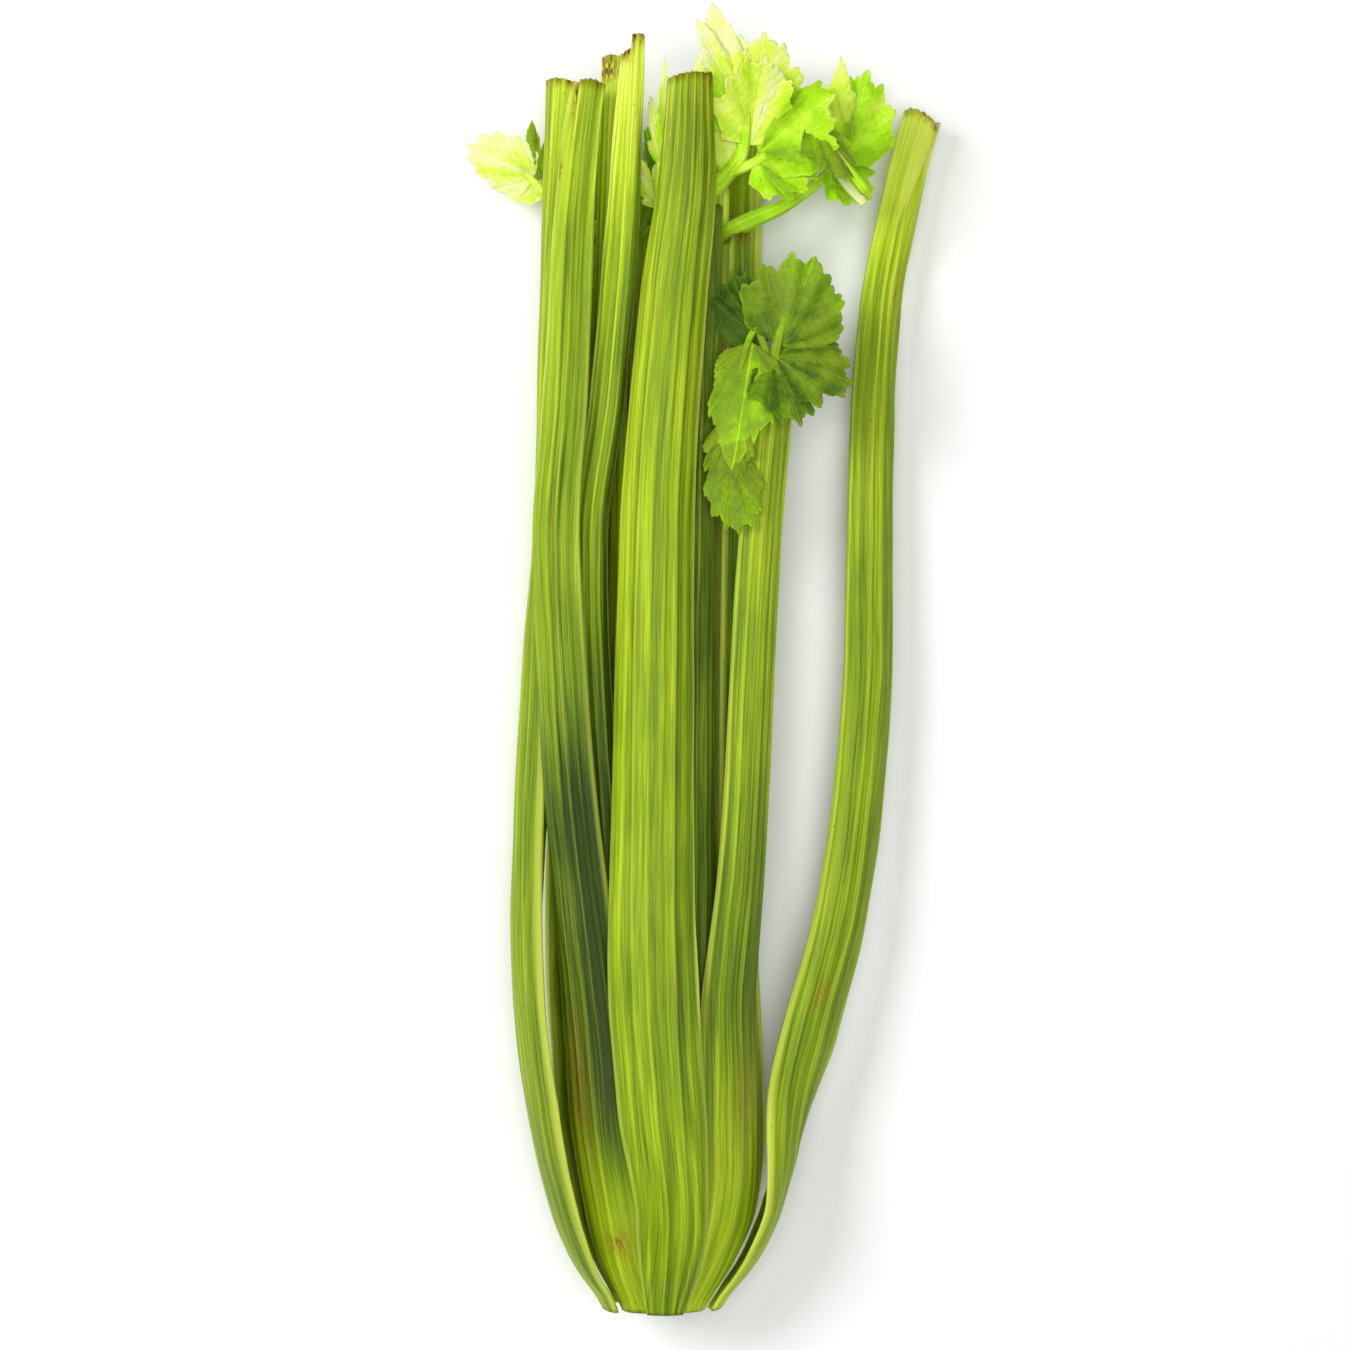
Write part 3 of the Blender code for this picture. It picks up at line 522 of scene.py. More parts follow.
def ripple(seed, places, wave, count=4):
    """A seeded smooth wander round 0, mostly within -1 to 1, with about this wavelength along the places."""
    draw = np.random.default_rng(seed)
    places = np.asarray(places, float)
    total = np.zeros_like(places)
    for _ in range(count):
        own_wave = wave * draw.uniform(0.6, 1.8)
        total += np.sin(2 * math.pi * places / own_wave + draw.uniform(0, 6.28))
    return total / math.sqrt(count)


def linked(name, data):
    """A new object of this data, in the scene."""
    made = bpy.data.objects.new(name, data)
    bpy.context.scene.collection.objects.link(made)
    return made


def seed_of(name):
    """A fixed number for a node's name."""
    return sum(ord(letter) * (i + 1) for i, letter in enumerate(name))


def new_piece(name, node, slot, points, faces, materials, face_materials=None, **marks):
    """A smooth mesh of points in millimetres in place of a node, with its marks as point attributes."""
    mesh = bpy.data.meshes.new(name)
    mesh.from_pydata((np.asarray(points) * MM).tolist(), [], faces)
    for made in materials:
        mesh.materials.append(made)
    if face_materials is not None:
        mesh.polygons.foreach_set("material_index", np.asarray(face_materials, np.int32))
    mesh.polygons.foreach_set("use_smooth", np.ones(len(mesh.polygons), bool))
    for mark, values in marks.items():
        values = np.asarray(values, np.float32)
        if values.ndim == 2:
            mesh.attributes.new(mark, "FLOAT_VECTOR", "POINT").data.foreach_set("vector", values.ravel())
        else:
            mesh.attributes.new(mark, "FLOAT", "POINT").data.foreach_set("value", values)
    mesh.validate()
    mesh.update()
    piece = linked(name, mesh)
    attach(piece, "root")
    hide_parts(node)
    return piece


# Stalks


def curl(name, height):
    """What a stalk's section at this height is drawn from: its curl's centre, radius, half arc and facing."""
    kind, azimuth, middle_width, _, _, own = STALKS[name]
    shape = {k: curve(v, height) for k, v in KINDS[kind].items() if isinstance(v, tuple)}
    extra = {k: curve(v, height) for k, v in own.items() if isinstance(v, tuple)}
    half = middle_width * shape["width"] * extra.get("wide", 1) / 2
    arc = math.radians(shape["arc"] * extra.get("arc", 1))
    radius = half / math.sin(arc)
    out = curve(RING, height) * shape["out"] * extra.get("out", 1)
    shift = np.array([extra.get("x", 0), extra.get("z", 0)])
    axis = np.array([curve(AXIS_X, height), AXIS_Z])
    middle = axis + out * heading(azimuth) * (RING_WIDE, RING_DEEP) + shift
    facing = heading(azimuth + extra.get("turn", 0))
    return middle - radius * facing, radius, arc, facing, shape


def rib_relief(name, shares, height):
    """Rib height in millimetres on a stalk's back, and how much of a ridge each place is: below 0 is painted
    shade.
    """
    ribs = KINDS[STALKS[name][0]]["ribs"]
    seed = seed_of(name)
    wander = 0.05 / ribs * ripple(seed + 7, height + 40 * shares, 60)
    phase = ribs * (shares + wander + 1) / 2
    ridge = 0.5 - 0.5 * np.cos(2 * math.pi * phase)
    order = np.floor(phase)
    strength = 0.74 + 0.26 * np.sin(order * 2.4 + seed + 0.012 * height)
    fine = 0.5 - 0.5 * np.cos(2 * math.pi * (3 * phase + 0.5))
    bold = 0.55 + 0.45 * smooth(20, 90, height)
    relief = RIB_HEIGHT * bold * (0.74 * ridge**2.2 * strength + 0.12 * fine)
    mark = 0.8 * ridge**7 * strength + 0.12 * fine**3
    for share, half, low, high, extra in LINES.get(name, ()):
        near = np.exp(-(((shares - share) / half) ** 2))
        near = near * extra * smooth(low, low + 30, height) * (1 - smooth(high, high + 20, height))
        relief = relief * (1 - 0.5 * np.abs(near).clip(0, 1)) + RIB_HEIGHT * (0.5 * near - 0.1 * np.abs(near))
        # A negative line makes a furrow, marked below 0 to be darkened as painted shade.
        mark = np.maximum(mark + np.minimum(near, 0), near)
    if name in CREASES:
        (low_share, low), (high_share, high), half = CREASES[name]
        line = low_share + (high_share - low_share) * (height - low) / (high - low)
        strong = smooth(low - 10, low + 6, height)
        raised = np.exp(-(((shares - line) / half) ** 2)) * strong
        sunken = np.exp(-(((shares - line - 2.2 * half) / half) ** 2)) * strong
        relief = relief * (1 - 0.6 * strong) + 0.45 * raised - 0.5 * sunken
        mark = np.maximum(mark * (1 - 0.7 * strong), 1.1 * raised)
    return relief, mark


def stalk_surface(name):
    """A stalk's back and inside as grids of points in millimetres, with their marks."""
    kind, _, _, start, end, own = STALKS[name]
    seed = seed_of(name)
    shares = np.linspace(-1, 1, STALK_COLUMNS[kind])
    heights = start + (end - start) * np.linspace(0, 1, STALK_ROWS[kind]) ** 1.15
    top = TOPS.get(name, PLAIN_TOP)
    drop = np.array([curve(top, s) for s in shares]) + TOP_ROUGHNESS * ripple(seed, shares, 0.12) + 0.2
    reach = TOP_REACH * drop.max()
    rounding = np.clip((np.abs(shares) - EDGE_ROUNDING) / (1 - EDGE_ROUNDING), 0, 1)
    fullness = np.sqrt(1 - rounding**2)
    slant = own.get("slant", 0.0)
    back, inside, marks = [], [], []
    for height in heights:
        centre, radius, arc, facing, shape = curl(name, height)
        side = np.array([facing[1], -facing[0]])
        angles = shares * arc * INSET
        normals = np.cos(angles)[:, None] * facing + np.sin(angles)[:, None] * side
        thickness = shape["edge"] + (shape["thick"] - shape["edge"]) * (1 - np.abs(shares) ** shape["wing"])
        relief, ridge = rib_relief(name, shares, height)
        relief = relief * fullness - 0.12 - 0.1 * ripple(seed + 3, height + 25 * shares, 45)
        outer = centre + (radius + relief - thickness / 2 * (1 - fullness))[:, None] * normals
        dent = 0.12 * ripple(seed + 5, height + 60 * shares, 30)
        inner = centre + (radius - thickness / 2 * (1 + fullness) - dent * fullness)[:, None] * normals
        part = (height - start) / (end - start)
        lean = slant * part**LEAN_POWER
        middle_x = (outer[:, 0].mean() + inner[:, 0].mean()) / 2
        lower = drop * smooth(end - reach, end, height)
        for grid, cut in ((back, outer), (inside, inner)):
            along = height + lean * (cut[:, 0] - middle_x) - lower
            grid.append(np.column_stack([cut[:, 0], BUTT_Y + along, np.maximum(cut[:, 1], 0.0)]))
        marks.append(stalk_marks(name, shares, height - lower, radius * angles, ridge, drop))
    return np.array(back), np.array(inside), np.array(marks)


def stalk_marks(name, shares, height, arc_place, ridge, drop):
    """Per column at this height: arc place, height, ridge, pale edge, brown mark, and tone with painted
    shade.
    """
    stain = np.zeros_like(shares)
    for share, place, half_share, half_length, strength in MARKS.get(name, PLAIN_MARKS):
        near = ((shares - share) / half_share) ** 2 + ((height - place) / half_length) ** 2
        stain = np.maximum(stain, strength * np.exp(-near))
    end = STALKS[name][4]
    tip = smooth(end - 3.0, end, height + drop)
    stain = np.maximum(stain, (0.62 + 0.3 * ripple(seed_of(name) + 13, shares, 0.3)) * tip)
    pale = smooth(0.82, 0.97, np.abs(shares))
    light = np.array([curve(STALK_TONE_AND_SHADE.get(name, PLAIN_LIGHTNESS), h) for h in np.atleast_1d(height)])
    # Random tone across the stalk, with painted light at its left edge and painted shade at its right one.
    light = light + 0.06 * ripple(seed_of(name) + 11, shares, 0.5) - PAINTED_SIDE_SHADING.get(name, 0.0) * shares
    # Painted shade: furrows and edges under neighbouring stalks are darkened.
    light = light + 0.3 * np.minimum(ridge, 0)
    return np.column_stack([arc_place, height, ridge, pale, stain, light])


def cut_face(outer, inner, sign, seed):
    """The points between a cut end's back and inside edges: sunken flesh with the strings standing proud."""
    rows = []
    columns = len(outer)
    places = np.linspace(-1, 1, columns)
    for k in range(1, CUT_ROWS):
        deep = k / CUT_ROWS
        row = outer + deep * (inner - outer)
        sink = CUT_SINK * (4 * deep * (1 - deep)) ** 0.6 * (1 + 0.4 * ripple(seed + k, places, 0.3))
        row[:, 1] -= sign * sink
        rows.append(row)
    return np.array(rows)


def bundles(name, columns):
    """How much of a cut end's place is one of the strings, which lie behind each rib, by depth and column."""
    ribs = KINDS[STALKS[name][0]]["ribs"]
    shares = np.linspace(-1, 1, columns)
    phase = ribs * (shares + 1) / 2
    beside = np.abs(phase - np.floor(phase) - 0.5)
    grid = []
    for k in range(1, CUT_ROWS):
        off = (k / CUT_ROWS - STRING_DEPTH) / STRING_DEEP
        grid.append(np.exp(-((beside / STRING_WIDE) ** 2) - off**2))
    return np.array(grid)


def stalk_piece(name, flesh, cut):
    """One stalk's finished surface, in place of its solid."""
    kind = STALKS[name][0]
    back, inside, marks = stalk_surface(name)
    rows, columns = back.shape[:2]
    seed = seed_of(name)
    points = [back.reshape(-1, 3), inside[:, 1:-1].reshape(-1, 3)]
    inner_marks = marks[:, 1:-1].copy()
    inner_marks[:, :, 2] *= 0.25
    inner_marks[:, :, 0] += 200
    values = [marks.reshape(-1, 6), inner_marks.reshape(-1, 6)]
    inside_start = rows * columns

    def back_id(row, column):
        return row * columns + column

    def inside_id(row, column):
        if column in (0, columns - 1):
            return back_id(row, column)
        return inside_start + row * (columns - 2) + column - 1

    faces = []
    for row in range(rows - 1):
        for column in range(columns - 1):
            corners = ((row, column), (row, column + 1), (row + 1, column + 1), (row + 1, column))
            faces.append(tuple(back_id(*corner) for corner in corners))
            faces.append(tuple(inside_id(*corners[k]) for k in (1, 0, 3, 2)))
    kinds = [0] * len(faces)
    total = inside_start + rows * (columns - 2)
    strings = bundles(name, columns)
    for row, sign in ((0, -1), (rows - 1, 1)):
        middle = cut_face(back[row], inside[row], sign, seed)[:, 1:-1]
        points.append(middle.reshape(-1, 3))
        cut_values = np.repeat(marks[row][None, 1:-1], CUT_ROWS - 1, axis=0)
        cut_values[:, :, 2] = strings[:, 1:-1]
        values.append(cut_values.reshape(-1, 6))
        first = total

        def face_id(layer, column, first=first, row=row):
            if column in (0, columns - 1) or layer == 0:
                return back_id(row, column)
            if layer == CUT_ROWS:
                return inside_id(row, column)
            return first + (layer - 1) * (columns - 2) + column - 1

        for layer in range(CUT_ROWS):
            for column in range(columns - 1):
                corners = ((layer, column), (layer, column + 1), (layer + 1, column + 1), (layer + 1, column))
                ids = [face_id(*corner) for corner in corners][::sign]
                ids = list(dict.fromkeys(ids))
                if len(ids) > 2:
                    faces.append(tuple(ids))
                    kinds.append(1)
        total += (CUT_ROWS - 1) * (columns - 2)
    values = np.concatenate(values)
    across = values[:, 0] + 31.0 * (seed % 17)
    grain = np.column_stack([across, values[:, 1], np.full(len(values), seed % 97)])
    slot = "stalk_green" if kind in ("outer", "nested") else "inner_stalk_green"
    return new_piece(
        name + "_surface", name, slot, np.concatenate(points), faces, [flesh, cut], kinds,
        grain=grain, ridge=values[:, 2], pale=values[:, 3], stain=values[:, 4], lightness=values[:, 5],
    )


# Root plate


def root_piece(surface):
    """The root plate's finished surface: a rough cut disc with rings, and a cone up into the stalks."""
    sides, seed = 96, 5
    turns = np.linspace(0, 2 * math.pi, sides, endpoint=False)
    radii = [0.8, 1.8, 2.9, 4.0, 5.1, 6.2, 7.2]
    profile = [(r, 0.5 + 0.35 * math.sin(r * 2.1)) for r in radii]
    profile += [(r - 0.15, h + 0.1) for r, h in ROOT_PLATE]
    rings, cutness = [], []
    for i, (radius, height) in enumerate(profile):
        rough = 0.16 * ripple(seed + i, turns * 4, 2.2) * (1 if i < len(radii) else 0.4)
        x = curve(AXIS_X, height) + RING_WIDE * (radius + 0.4 * rough) * np.sin(turns)
        z = AXIS_Z + RING_DEEP * (radius + 0.4 * rough) * np.cos(turns)
        rings.append(np.column_stack([x, BUTT_Y + np.clip(height + rough, 0.02, None), z]))
        cutness.append(np.full(sides, 1.0 if i <= len(radii) else 0.0))
    bottom = np.array([[curve(AXIS_X, 0), BUTT_Y + 0.5, AXIS_Z]])
    top_height = ROOT_PLATE[-1][1]
    top = np.array([[curve(AXIS_X, top_height), BUTT_Y + top_height, AXIS_Z]])
    points = np.concatenate([bottom, np.concatenate(rings), top])
    faces = []
    for i in range(sides):
        j = (i + 1) % sides
        faces.append((0, 1 + i, 1 + j))
        for ring in range(len(rings) - 1):
            low = 1 + ring * sides
            faces.append((low + j, low + i, low + sides + i, low + sides + j))
        last = 1 + (len(rings) - 1) * sides
        faces.append((last + j, last + i, len(points) - 1))
    cutness = np.concatenate([[1.0], np.concatenate(cutness), [0.0]])
    radius = np.hypot((points[:, 0] - AXIS_X[0][1]) / RING_WIDE, (points[:, 2] - AXIS_Z) / RING_DEEP)
    return new_piece(
        "root_plate_surface", "root_plate", "root_plate_tan", points, faces, [surface],
        cutness=cutness, ring=radius,
    )


# Leaves

# The main veins of a leaflet by style, in degrees off its midrib.
VEINS = {
    "lobed": (0, 36, 64), "scalloped": (0, 16, 33, 52), "broad": (0, 18, 38, 60), "pointed": (0, 19, 34),
}

# A leaflet's teeth by style: their spacing in degrees, their depth as a share, and how pointed they are.
TEETH = {
    "lobed": (5.6, 0.085, 1.0), "scalloped": (7.6, 0.08, 0.15), "broad": (8.2, 0.07, 0.15),
    "pointed": (5.0, 0.06, 1.0),
}

# How finely a leaflet is drawn, from its base round to its base and outwards, where it shows and where not.
SHOWN_FINENESS, HIDDEN_FINENESS = (151, 30), (81, 16)
STEM_SIDES, STEM_STEPS = 28, 9

# How far a stem is drawn on below its start and how far it sinks there, and its channel and ridges as shares
# of its radius, with their number.
STEM_ROOT, STEM_SINK = 9.0, 9.0
STEM_CHANNEL, STEM_RIDGE, STEM_RIDGES = 0.22, 0.05, 7

# Short torn ends of stems, white inside, as (x, height, z, radius) knots.
TORN_STUBS = {
    "leaf_right": (((35.0, 317.0, 36.4, 1.0), (39.0, 312.4, 37.6, 1.5), (43.6, 307.0, 38.0, 1.3)),),
}

# A blade's thickness, the height of its margin's waves, and the height of its pucker between the veins.
LEAF_THICK, LEAF_WAVE, LEAF_PUCKER = 0.45, 0.75, 0.16


def leaflet_outline(style, angles, seed):
    """How far a leaflet's toothed margin reaches at each angle off its midrib, as a share of its length."""
    spacing, depth, point = TEETH[style]
    reach = np.array([curve(OUTLINES[style], abs(a)) for a in angles])
    reach *= 1 + 0.035 * ripple(seed, angles, 34)
    phase = np.abs(angles) / spacing + 0.18 * ripple(seed + 1, angles, 23) + 0.5
    part = phase - np.floor(phase)
    rounded = 1 - np.abs(np.sin(math.pi * phase)) ** 0.7
    saw = part**1.2
    notch = point * saw + (1 - point) * rounded
    return reach * (1 - depth * notch * smooth(1.0, 5.0, np.abs(angles)))


def vein_pattern(style, angles, reach, length):
    """How much of a vein each place of a leaflet is, from its polar place in millimetres."""
    total = np.zeros_like(reach)
    for root in VEINS[style]:
        for sign in (-1, 1):
            off = np.radians(angles - sign * root)
            beside = reach * np.abs(np.sin(off))
            ahead = reach * np.cos(off)
            fade = np.clip(1 - reach / length, 0, 1)
            half = (0.34 if root == 0 else 0.22) * (0.35 + 0.65 * fade)
            main = np.exp(-((beside / half) ** 2))
            side_veins = (ahead - 1.1 * beside) / 2.9
            away = np.abs(side_veins - np.round(side_veins)) * 2.9 * 0.67
            near = np.exp(-((np.degrees(np.abs(off)) / 13) ** 4)) * smooth(0.3, 1.2, ahead)
            branch = 0.5 * np.exp(-((away / 0.2) ** 2)) * near
            total = np.maximum(total, np.maximum(main * (ahead > 0), branch * (ahead > 0)))
    return total


def leaflet_mesh(spec, seed, columns, rings):
    """One leaflet as a thin closed shell: its points, faces, and its marks by point."""
    style, base, tip, face, width, arch, fold, glow_base, glow_tip = spec
    base, tip, face = (np.array(v, float) for v in (base, tip, face))
    length = np.linalg.norm(tip - base)
    ahead = (tip - base) / length
    up = face - face.dot(ahead) * ahead
    up /= np.linalg.norm(up)
    side = np.cross(ahead, up)
    bend = math.radians(arch)
    fan_edge = OUTLINES[style][-1][0]
    angles = np.linspace(-fan_edge, fan_edge, columns)
    margin = leaflet_outline(style, angles, seed) * length
    shares = np.linspace(0, 1, rings + 1)[1:] ** 0.92
    reach = shares[:, None] * margin[None, :]
    fan = np.broadcast_to(angles, reach.shape)
    u = reach * np.cos(np.radians(fan)) / length
    v = width * reach * np.sin(np.radians(fan))
    turn = bend * (u - 0.5)
    run = length * (np.sin(turn) + math.sin(bend / 2)) / (2 * math.sin(bend / 2))
    rise = length * (np.cos(turn) - math.cos(bend / 2)) / (2 * math.sin(bend / 2))
    vein = vein_pattern(style, fan, reach, length)
    share_grid = np.broadcast_to(shares[:, None], reach.shape)
    wave = LEAF_WAVE * share_grid**2 * ripple(seed + 2, fan + 12 * share_grid, 30) * min(1.0, length / 20)
    hills = np.sin(2 * math.pi * (u * length) / 3.1) * np.cos(2 * math.pi * v / 2.7)
    pucker = LEAF_PUCKER * (1 - vein) * hills
    lift = rise - fold * np.abs(v) + wave + pucker * share_grid - 0.14 * vein
    grid = base + run[..., None] * ahead + lift[..., None] * up + v[..., None] * side
    across = np.gradient(grid, axis=1)
    outward = np.gradient(grid, axis=0)
    normals = np.cross(outward, across)
    lengths = np.linalg.norm(normals, axis=2, keepdims=True)
    normals /= np.maximum(lengths, 1e-9)
    normals *= np.sign((normals * up).sum(axis=2, keepdims=True) + 1e-9)
    thick = LEAF_THICK * (1 - 0.55 * share_grid**8) * (1 + 0.5 * vein)
    upper = grid + normals * thick[..., None] / 2
    lower = grid - normals * thick[..., None] / 2
    flat = rings * columns
    half_up = up * LEAF_THICK / 2
    points = np.concatenate([[base + half_up], upper.reshape(-1, 3), [base - half_up], lower.reshape(-1, 3)])
    faces = []
    below = flat + 1
    for i in range(columns - 1):
        faces.append((0, 2 + i, 1 + i))
        faces.append((below, below + 1 + i, below + 2 + i))
        for ring in range(rings - 1):
            a = 1 + ring * columns + i
            faces.append((a, a + 1, a + columns + 1, a + columns))
            b = below + a
            faces.append((b + 1, b, b + columns, b + columns + 1))
    first = [1 + ring * columns for ring in range(rings)]
    other_side = [f + columns - 1 for f in reversed(first[:-1])]
    edge = [0, *first, *range(first[-1] + 1, first[-1] + columns), *other_side]
    for a, b in zip(edge, edge[1:] + edge[:1]):
        faces.append((a, b, below + b, below + a))
    # Tone from base to tip, with painted shade where a leaf's values are set dark for it.
    glow = glow_base + (glow_tip - glow_base) * np.clip(u, 0, 1) + 0.06 * ripple(seed + 4, fan, 50)
    one = np.column_stack([vein.ravel(), glow.ravel(), share_grid.ravel(), (u * length).ravel(), v.ravel()])
    centre = np.array([[1.0, glow_base, 0.0, 0.0, 0.0]])
    marks = np.concatenate([centre, one, centre, one])
    return points, faces, marks


def flowing(points, steps):
    """A smooth line through (x, height, z, radius) points, with this many steps between each two."""
    p = np.array(points, float)
    padded = np.vstack([2 * p[0] - p[1], p, 2 * p[-1] - p[-2]])
    line = []
    for i in range(1, len(padded) - 2):
        a, b, c, d = padded[i - 1 : i + 3]
        for t in np.linspace(0, 1, steps, endpoint=False):
            bend = (2 * a - 5 * b + 4 * c - d) * t**2 + (3 * b - a - 3 * c + d) * t**3
            line.append(0.5 * (2 * b + (c - a) * t + bend))
    line.append(p[-1])
    return np.array(line)


def rooted(points):
    """A stem's knots with one more below its start, sunk among the stalks it grows from."""
    first, second = np.array(points[0]), np.array(points[1])
    back = (first - second)[:3]
    back /= np.linalg.norm(back)
    below = first.copy()
    below[:3] += STEM_ROOT * back
    below[2] = max(below[2] - STEM_SINK, below[3] + 1.0)
    return [tuple(below), *points]


def stem_mesh(points, glow):
    """A leaf's grooved stem as a closed tube: its points, faces, and its marks by point."""
    sides = STEM_SIDES
    line = flowing(rooted(points), STEM_STEPS)
    along = np.gradient(line[:, :3], axis=0)
    along /= np.linalg.norm(along, axis=1)[:, None]
    turns = np.linspace(0, 2 * math.pi, sides, endpoint=False)
    run = np.concatenate([[0], np.cumsum(np.linalg.norm(np.diff(line[:, :3], axis=0), axis=1))])
    places, marks = [], []
    for place, way, length in zip(line, along, run):
        side = np.cross(way, (0.0, 0.0, 1.0))
        side /= np.linalg.norm(side)
        up = np.cross(side, way)
        channel = STEM_CHANNEL * np.exp(-(((turns - math.pi / 2) / 0.42) ** 2))
        ridges = STEM_RIDGE * np.cos(STEM_RIDGES * turns)
        radius = place[3] * (1 + ridges - channel)
        out = np.cos(turns)[:, None] * side + np.sin(turns)[:, None] * up
        places.append(place[:3] + radius[:, None] * out)
        ridge = 0.5 + 0.5 * np.cos(STEM_RIDGES * turns)
        same = [np.full(sides, value) for value in (glow, 0, length)]
        marks.append(np.column_stack([ridge**2 * 0.6, *same, turns]))
    rings = len(places)
    points = np.concatenate([*places, [line[0, :3]], [line[-1, :3]]])
    marks = np.concatenate([*marks, [[0.5, glow, 0, 0, 0]], [[0.5, glow, 0, run[-1], 0]]])
    faces = []
    for i in range(sides):
        j = (i + 1) % sides
        for ring in range(rings - 1):
            a, b = ring * sides + i, ring * sides + j
            faces.append((b, a, a + sides, b + sides))
        faces.append((i, j, rings * sides))
        last = (rings - 1) * sides
        faces.append((last + j, last + i, rings * sides + 1))
    return points, faces, marks


def leaf_piece(name, blade, slot, shown):
    """One leaf: its grooved stems and veined, toothed leaflets, in place of its solid."""
    seed = seed_of(name)
    stem_glow, stems, leaflets = LEAVES[name]
    parts = [stem_mesh(p, stem_glow) for p in stems]
    parts += [stem_mesh(p, 1.0) for p in TORN_STUBS.get(name, ())]
    fineness = SHOWN_FINENESS if shown else HIDDEN_FINENESS
    for i, spec in enumerate(leaflets):
        parts.append(leaflet_mesh(spec, seed + 10 * i + 20, *fineness))
    points, faces, marks, total = [], [], [], 0
    for part_points, part_faces, part_marks in parts:
        part_points = part_points.copy()
        part_points[:, 1] += BUTT_Y
        points.append(part_points)
        faces += [tuple(total + i for i in face) for face in part_faces]
        marks.append(part_marks)
        total += len(part_points)
    marks = np.concatenate(marks)
    place = np.column_stack([marks[:, 3], marks[:, 4], np.zeros(len(marks))])
    return new_piece(
        name + "_surface", name, slot, np.concatenate(points), faces, [blade],
        vein=marks[:, 0], glow=marks[:, 1], margin=marks[:, 2], place=place,
    )


# Materials


class Finish:
    """A Principled material and short calls that add its nodes."""

    def __init__(self, name, **constants):
        self.material = bpy.data.materials.new(name)
        self.material.use_nodes = True
        self.tree = self.material.node_tree
        self.shader = self.tree.nodes["Principled BSDF"]
        for socket, value in constants.items():
            self.shader.inputs[socket.replace("_", " ")].default_value = value

    def feed(self, socket, value):
        if isinstance(value, bpy.types.NodeSocket):
            self.tree.links.new(value, socket)
        elif isinstance(value, tuple) and len(value) == 3 and socket.type == "RGBA":
            socket.default_value = (*value, 1)
        else:
            socket.default_value = value

    def attribute(self, name, vector=False):
        node = self.tree.nodes.new("ShaderNodeAttribute")
        node.attribute_name = name
        return node.outputs["Vector" if vector else "Fac"]

    def number(self, operation, a, b=0.5, c=0.5, clamp=False):
        node = self.tree.nodes.new("ShaderNodeMath")
        node.operation = operation
        node.use_clamp = clamp
        for socket, value in zip(node.inputs, (a, b, c)):
            self.feed(socket, value)
        return node.outputs[0]

    def times(self, vector, factors):
        node = self.tree.nodes.new("ShaderNodeVectorMath")
        node.operation = "MULTIPLY"
        self.feed(node.inputs[0], vector)
        self.feed(node.inputs[1], factors)
        return node.outputs[0]

    def noise(self, vector, detail=3.0, rough=0.5):
        node = self.tree.nodes.new("ShaderNodeTexNoise")
        self.feed(node.inputs["Vector"], vector)
        node.inputs["Scale"].default_value = 1.0
        node.inputs["Detail"].default_value = detail
        node.inputs["Roughness"].default_value = rough
        return node.outputs["Fac"]

    def cells(self, vector, feature="DISTANCE_TO_EDGE"):
        node = self.tree.nodes.new("ShaderNodeTexVoronoi")
        node.feature = feature
        self.feed(node.inputs["Vector"], vector)
        node.inputs["Scale"].default_value = 1.0
        return node.outputs["Distance"]

    def between(self, value, low, high, to_low=0.0, to_high=1.0):
        node = self.tree.nodes.new("ShaderNodeMapRange")
        node.interpolation_type = "SMOOTHSTEP"
        for socket, v in zip(node.inputs, (value, low, high, to_low, to_high)):
            self.feed(socket, v)
        return node.outputs[0]

    def varied(self, light, value, low, high, amount):
        """This light with up to half the amount more or less, as the value goes from low to high."""
        return self.number("MULTIPLY_ADD", self.between(value, low, high, -0.5, 0.5), amount, light)

    def mix(self, factor, a, b):
        node = self.tree.nodes.new("ShaderNodeMix")
        node.data_type = "RGBA"
        self.feed(node.inputs[0], factor)
        self.feed(node.inputs[6], a)
        self.feed(node.inputs[7], b)
        return node.outputs[2]

    def ramp(self, value, stops):
        node = self.tree.nodes.new("ShaderNodeValToRGB")
        points = node.color_ramp.elements
        while len(points) < len(stops):
            points.new(0.5)
        for point, (place, colour) in zip(points, stops):
            point.position = place
            point.color = (*colour, 1)
        self.feed(node.inputs[0], value)
        return node.outputs[0]

    def bump(self, height, distance, strength):
        node = self.tree.nodes.new("ShaderNodeBump")
        node.inputs["Strength"].default_value = strength
        node.inputs["Distance"].default_value = distance
        self.feed(node.inputs["Height"], height)
        return node.outputs[0]

    def done(self, colour, roughness=None, normal=None):
        for socket, value in (("Base Color", colour), ("Roughness", roughness), ("Normal", normal)):
            if value is not None:
                self.feed(self.shader.inputs[socket], value)
        return self.material


GREENS = (
    (0.0, (0.030, 0.056, 0.002)), (0.3, (0.125, 0.215, 0.003)), (0.55, (0.275, 0.405, 0.004)),
    (0.8, (0.50, 0.68, 0.012)), (1.0, (0.76, 0.88, 0.10)),
)
PALE_STRING = (0.66, 0.77, 0.10)
PALE_EDGE = (0.80, 0.89, 0.26)
OLIVE_TAN = (0.36, 0.33, 0.055)
RUST = (0.30, 0.10, 0.012)
DARK_STAIN = (0.06, 0.03, 0.008)


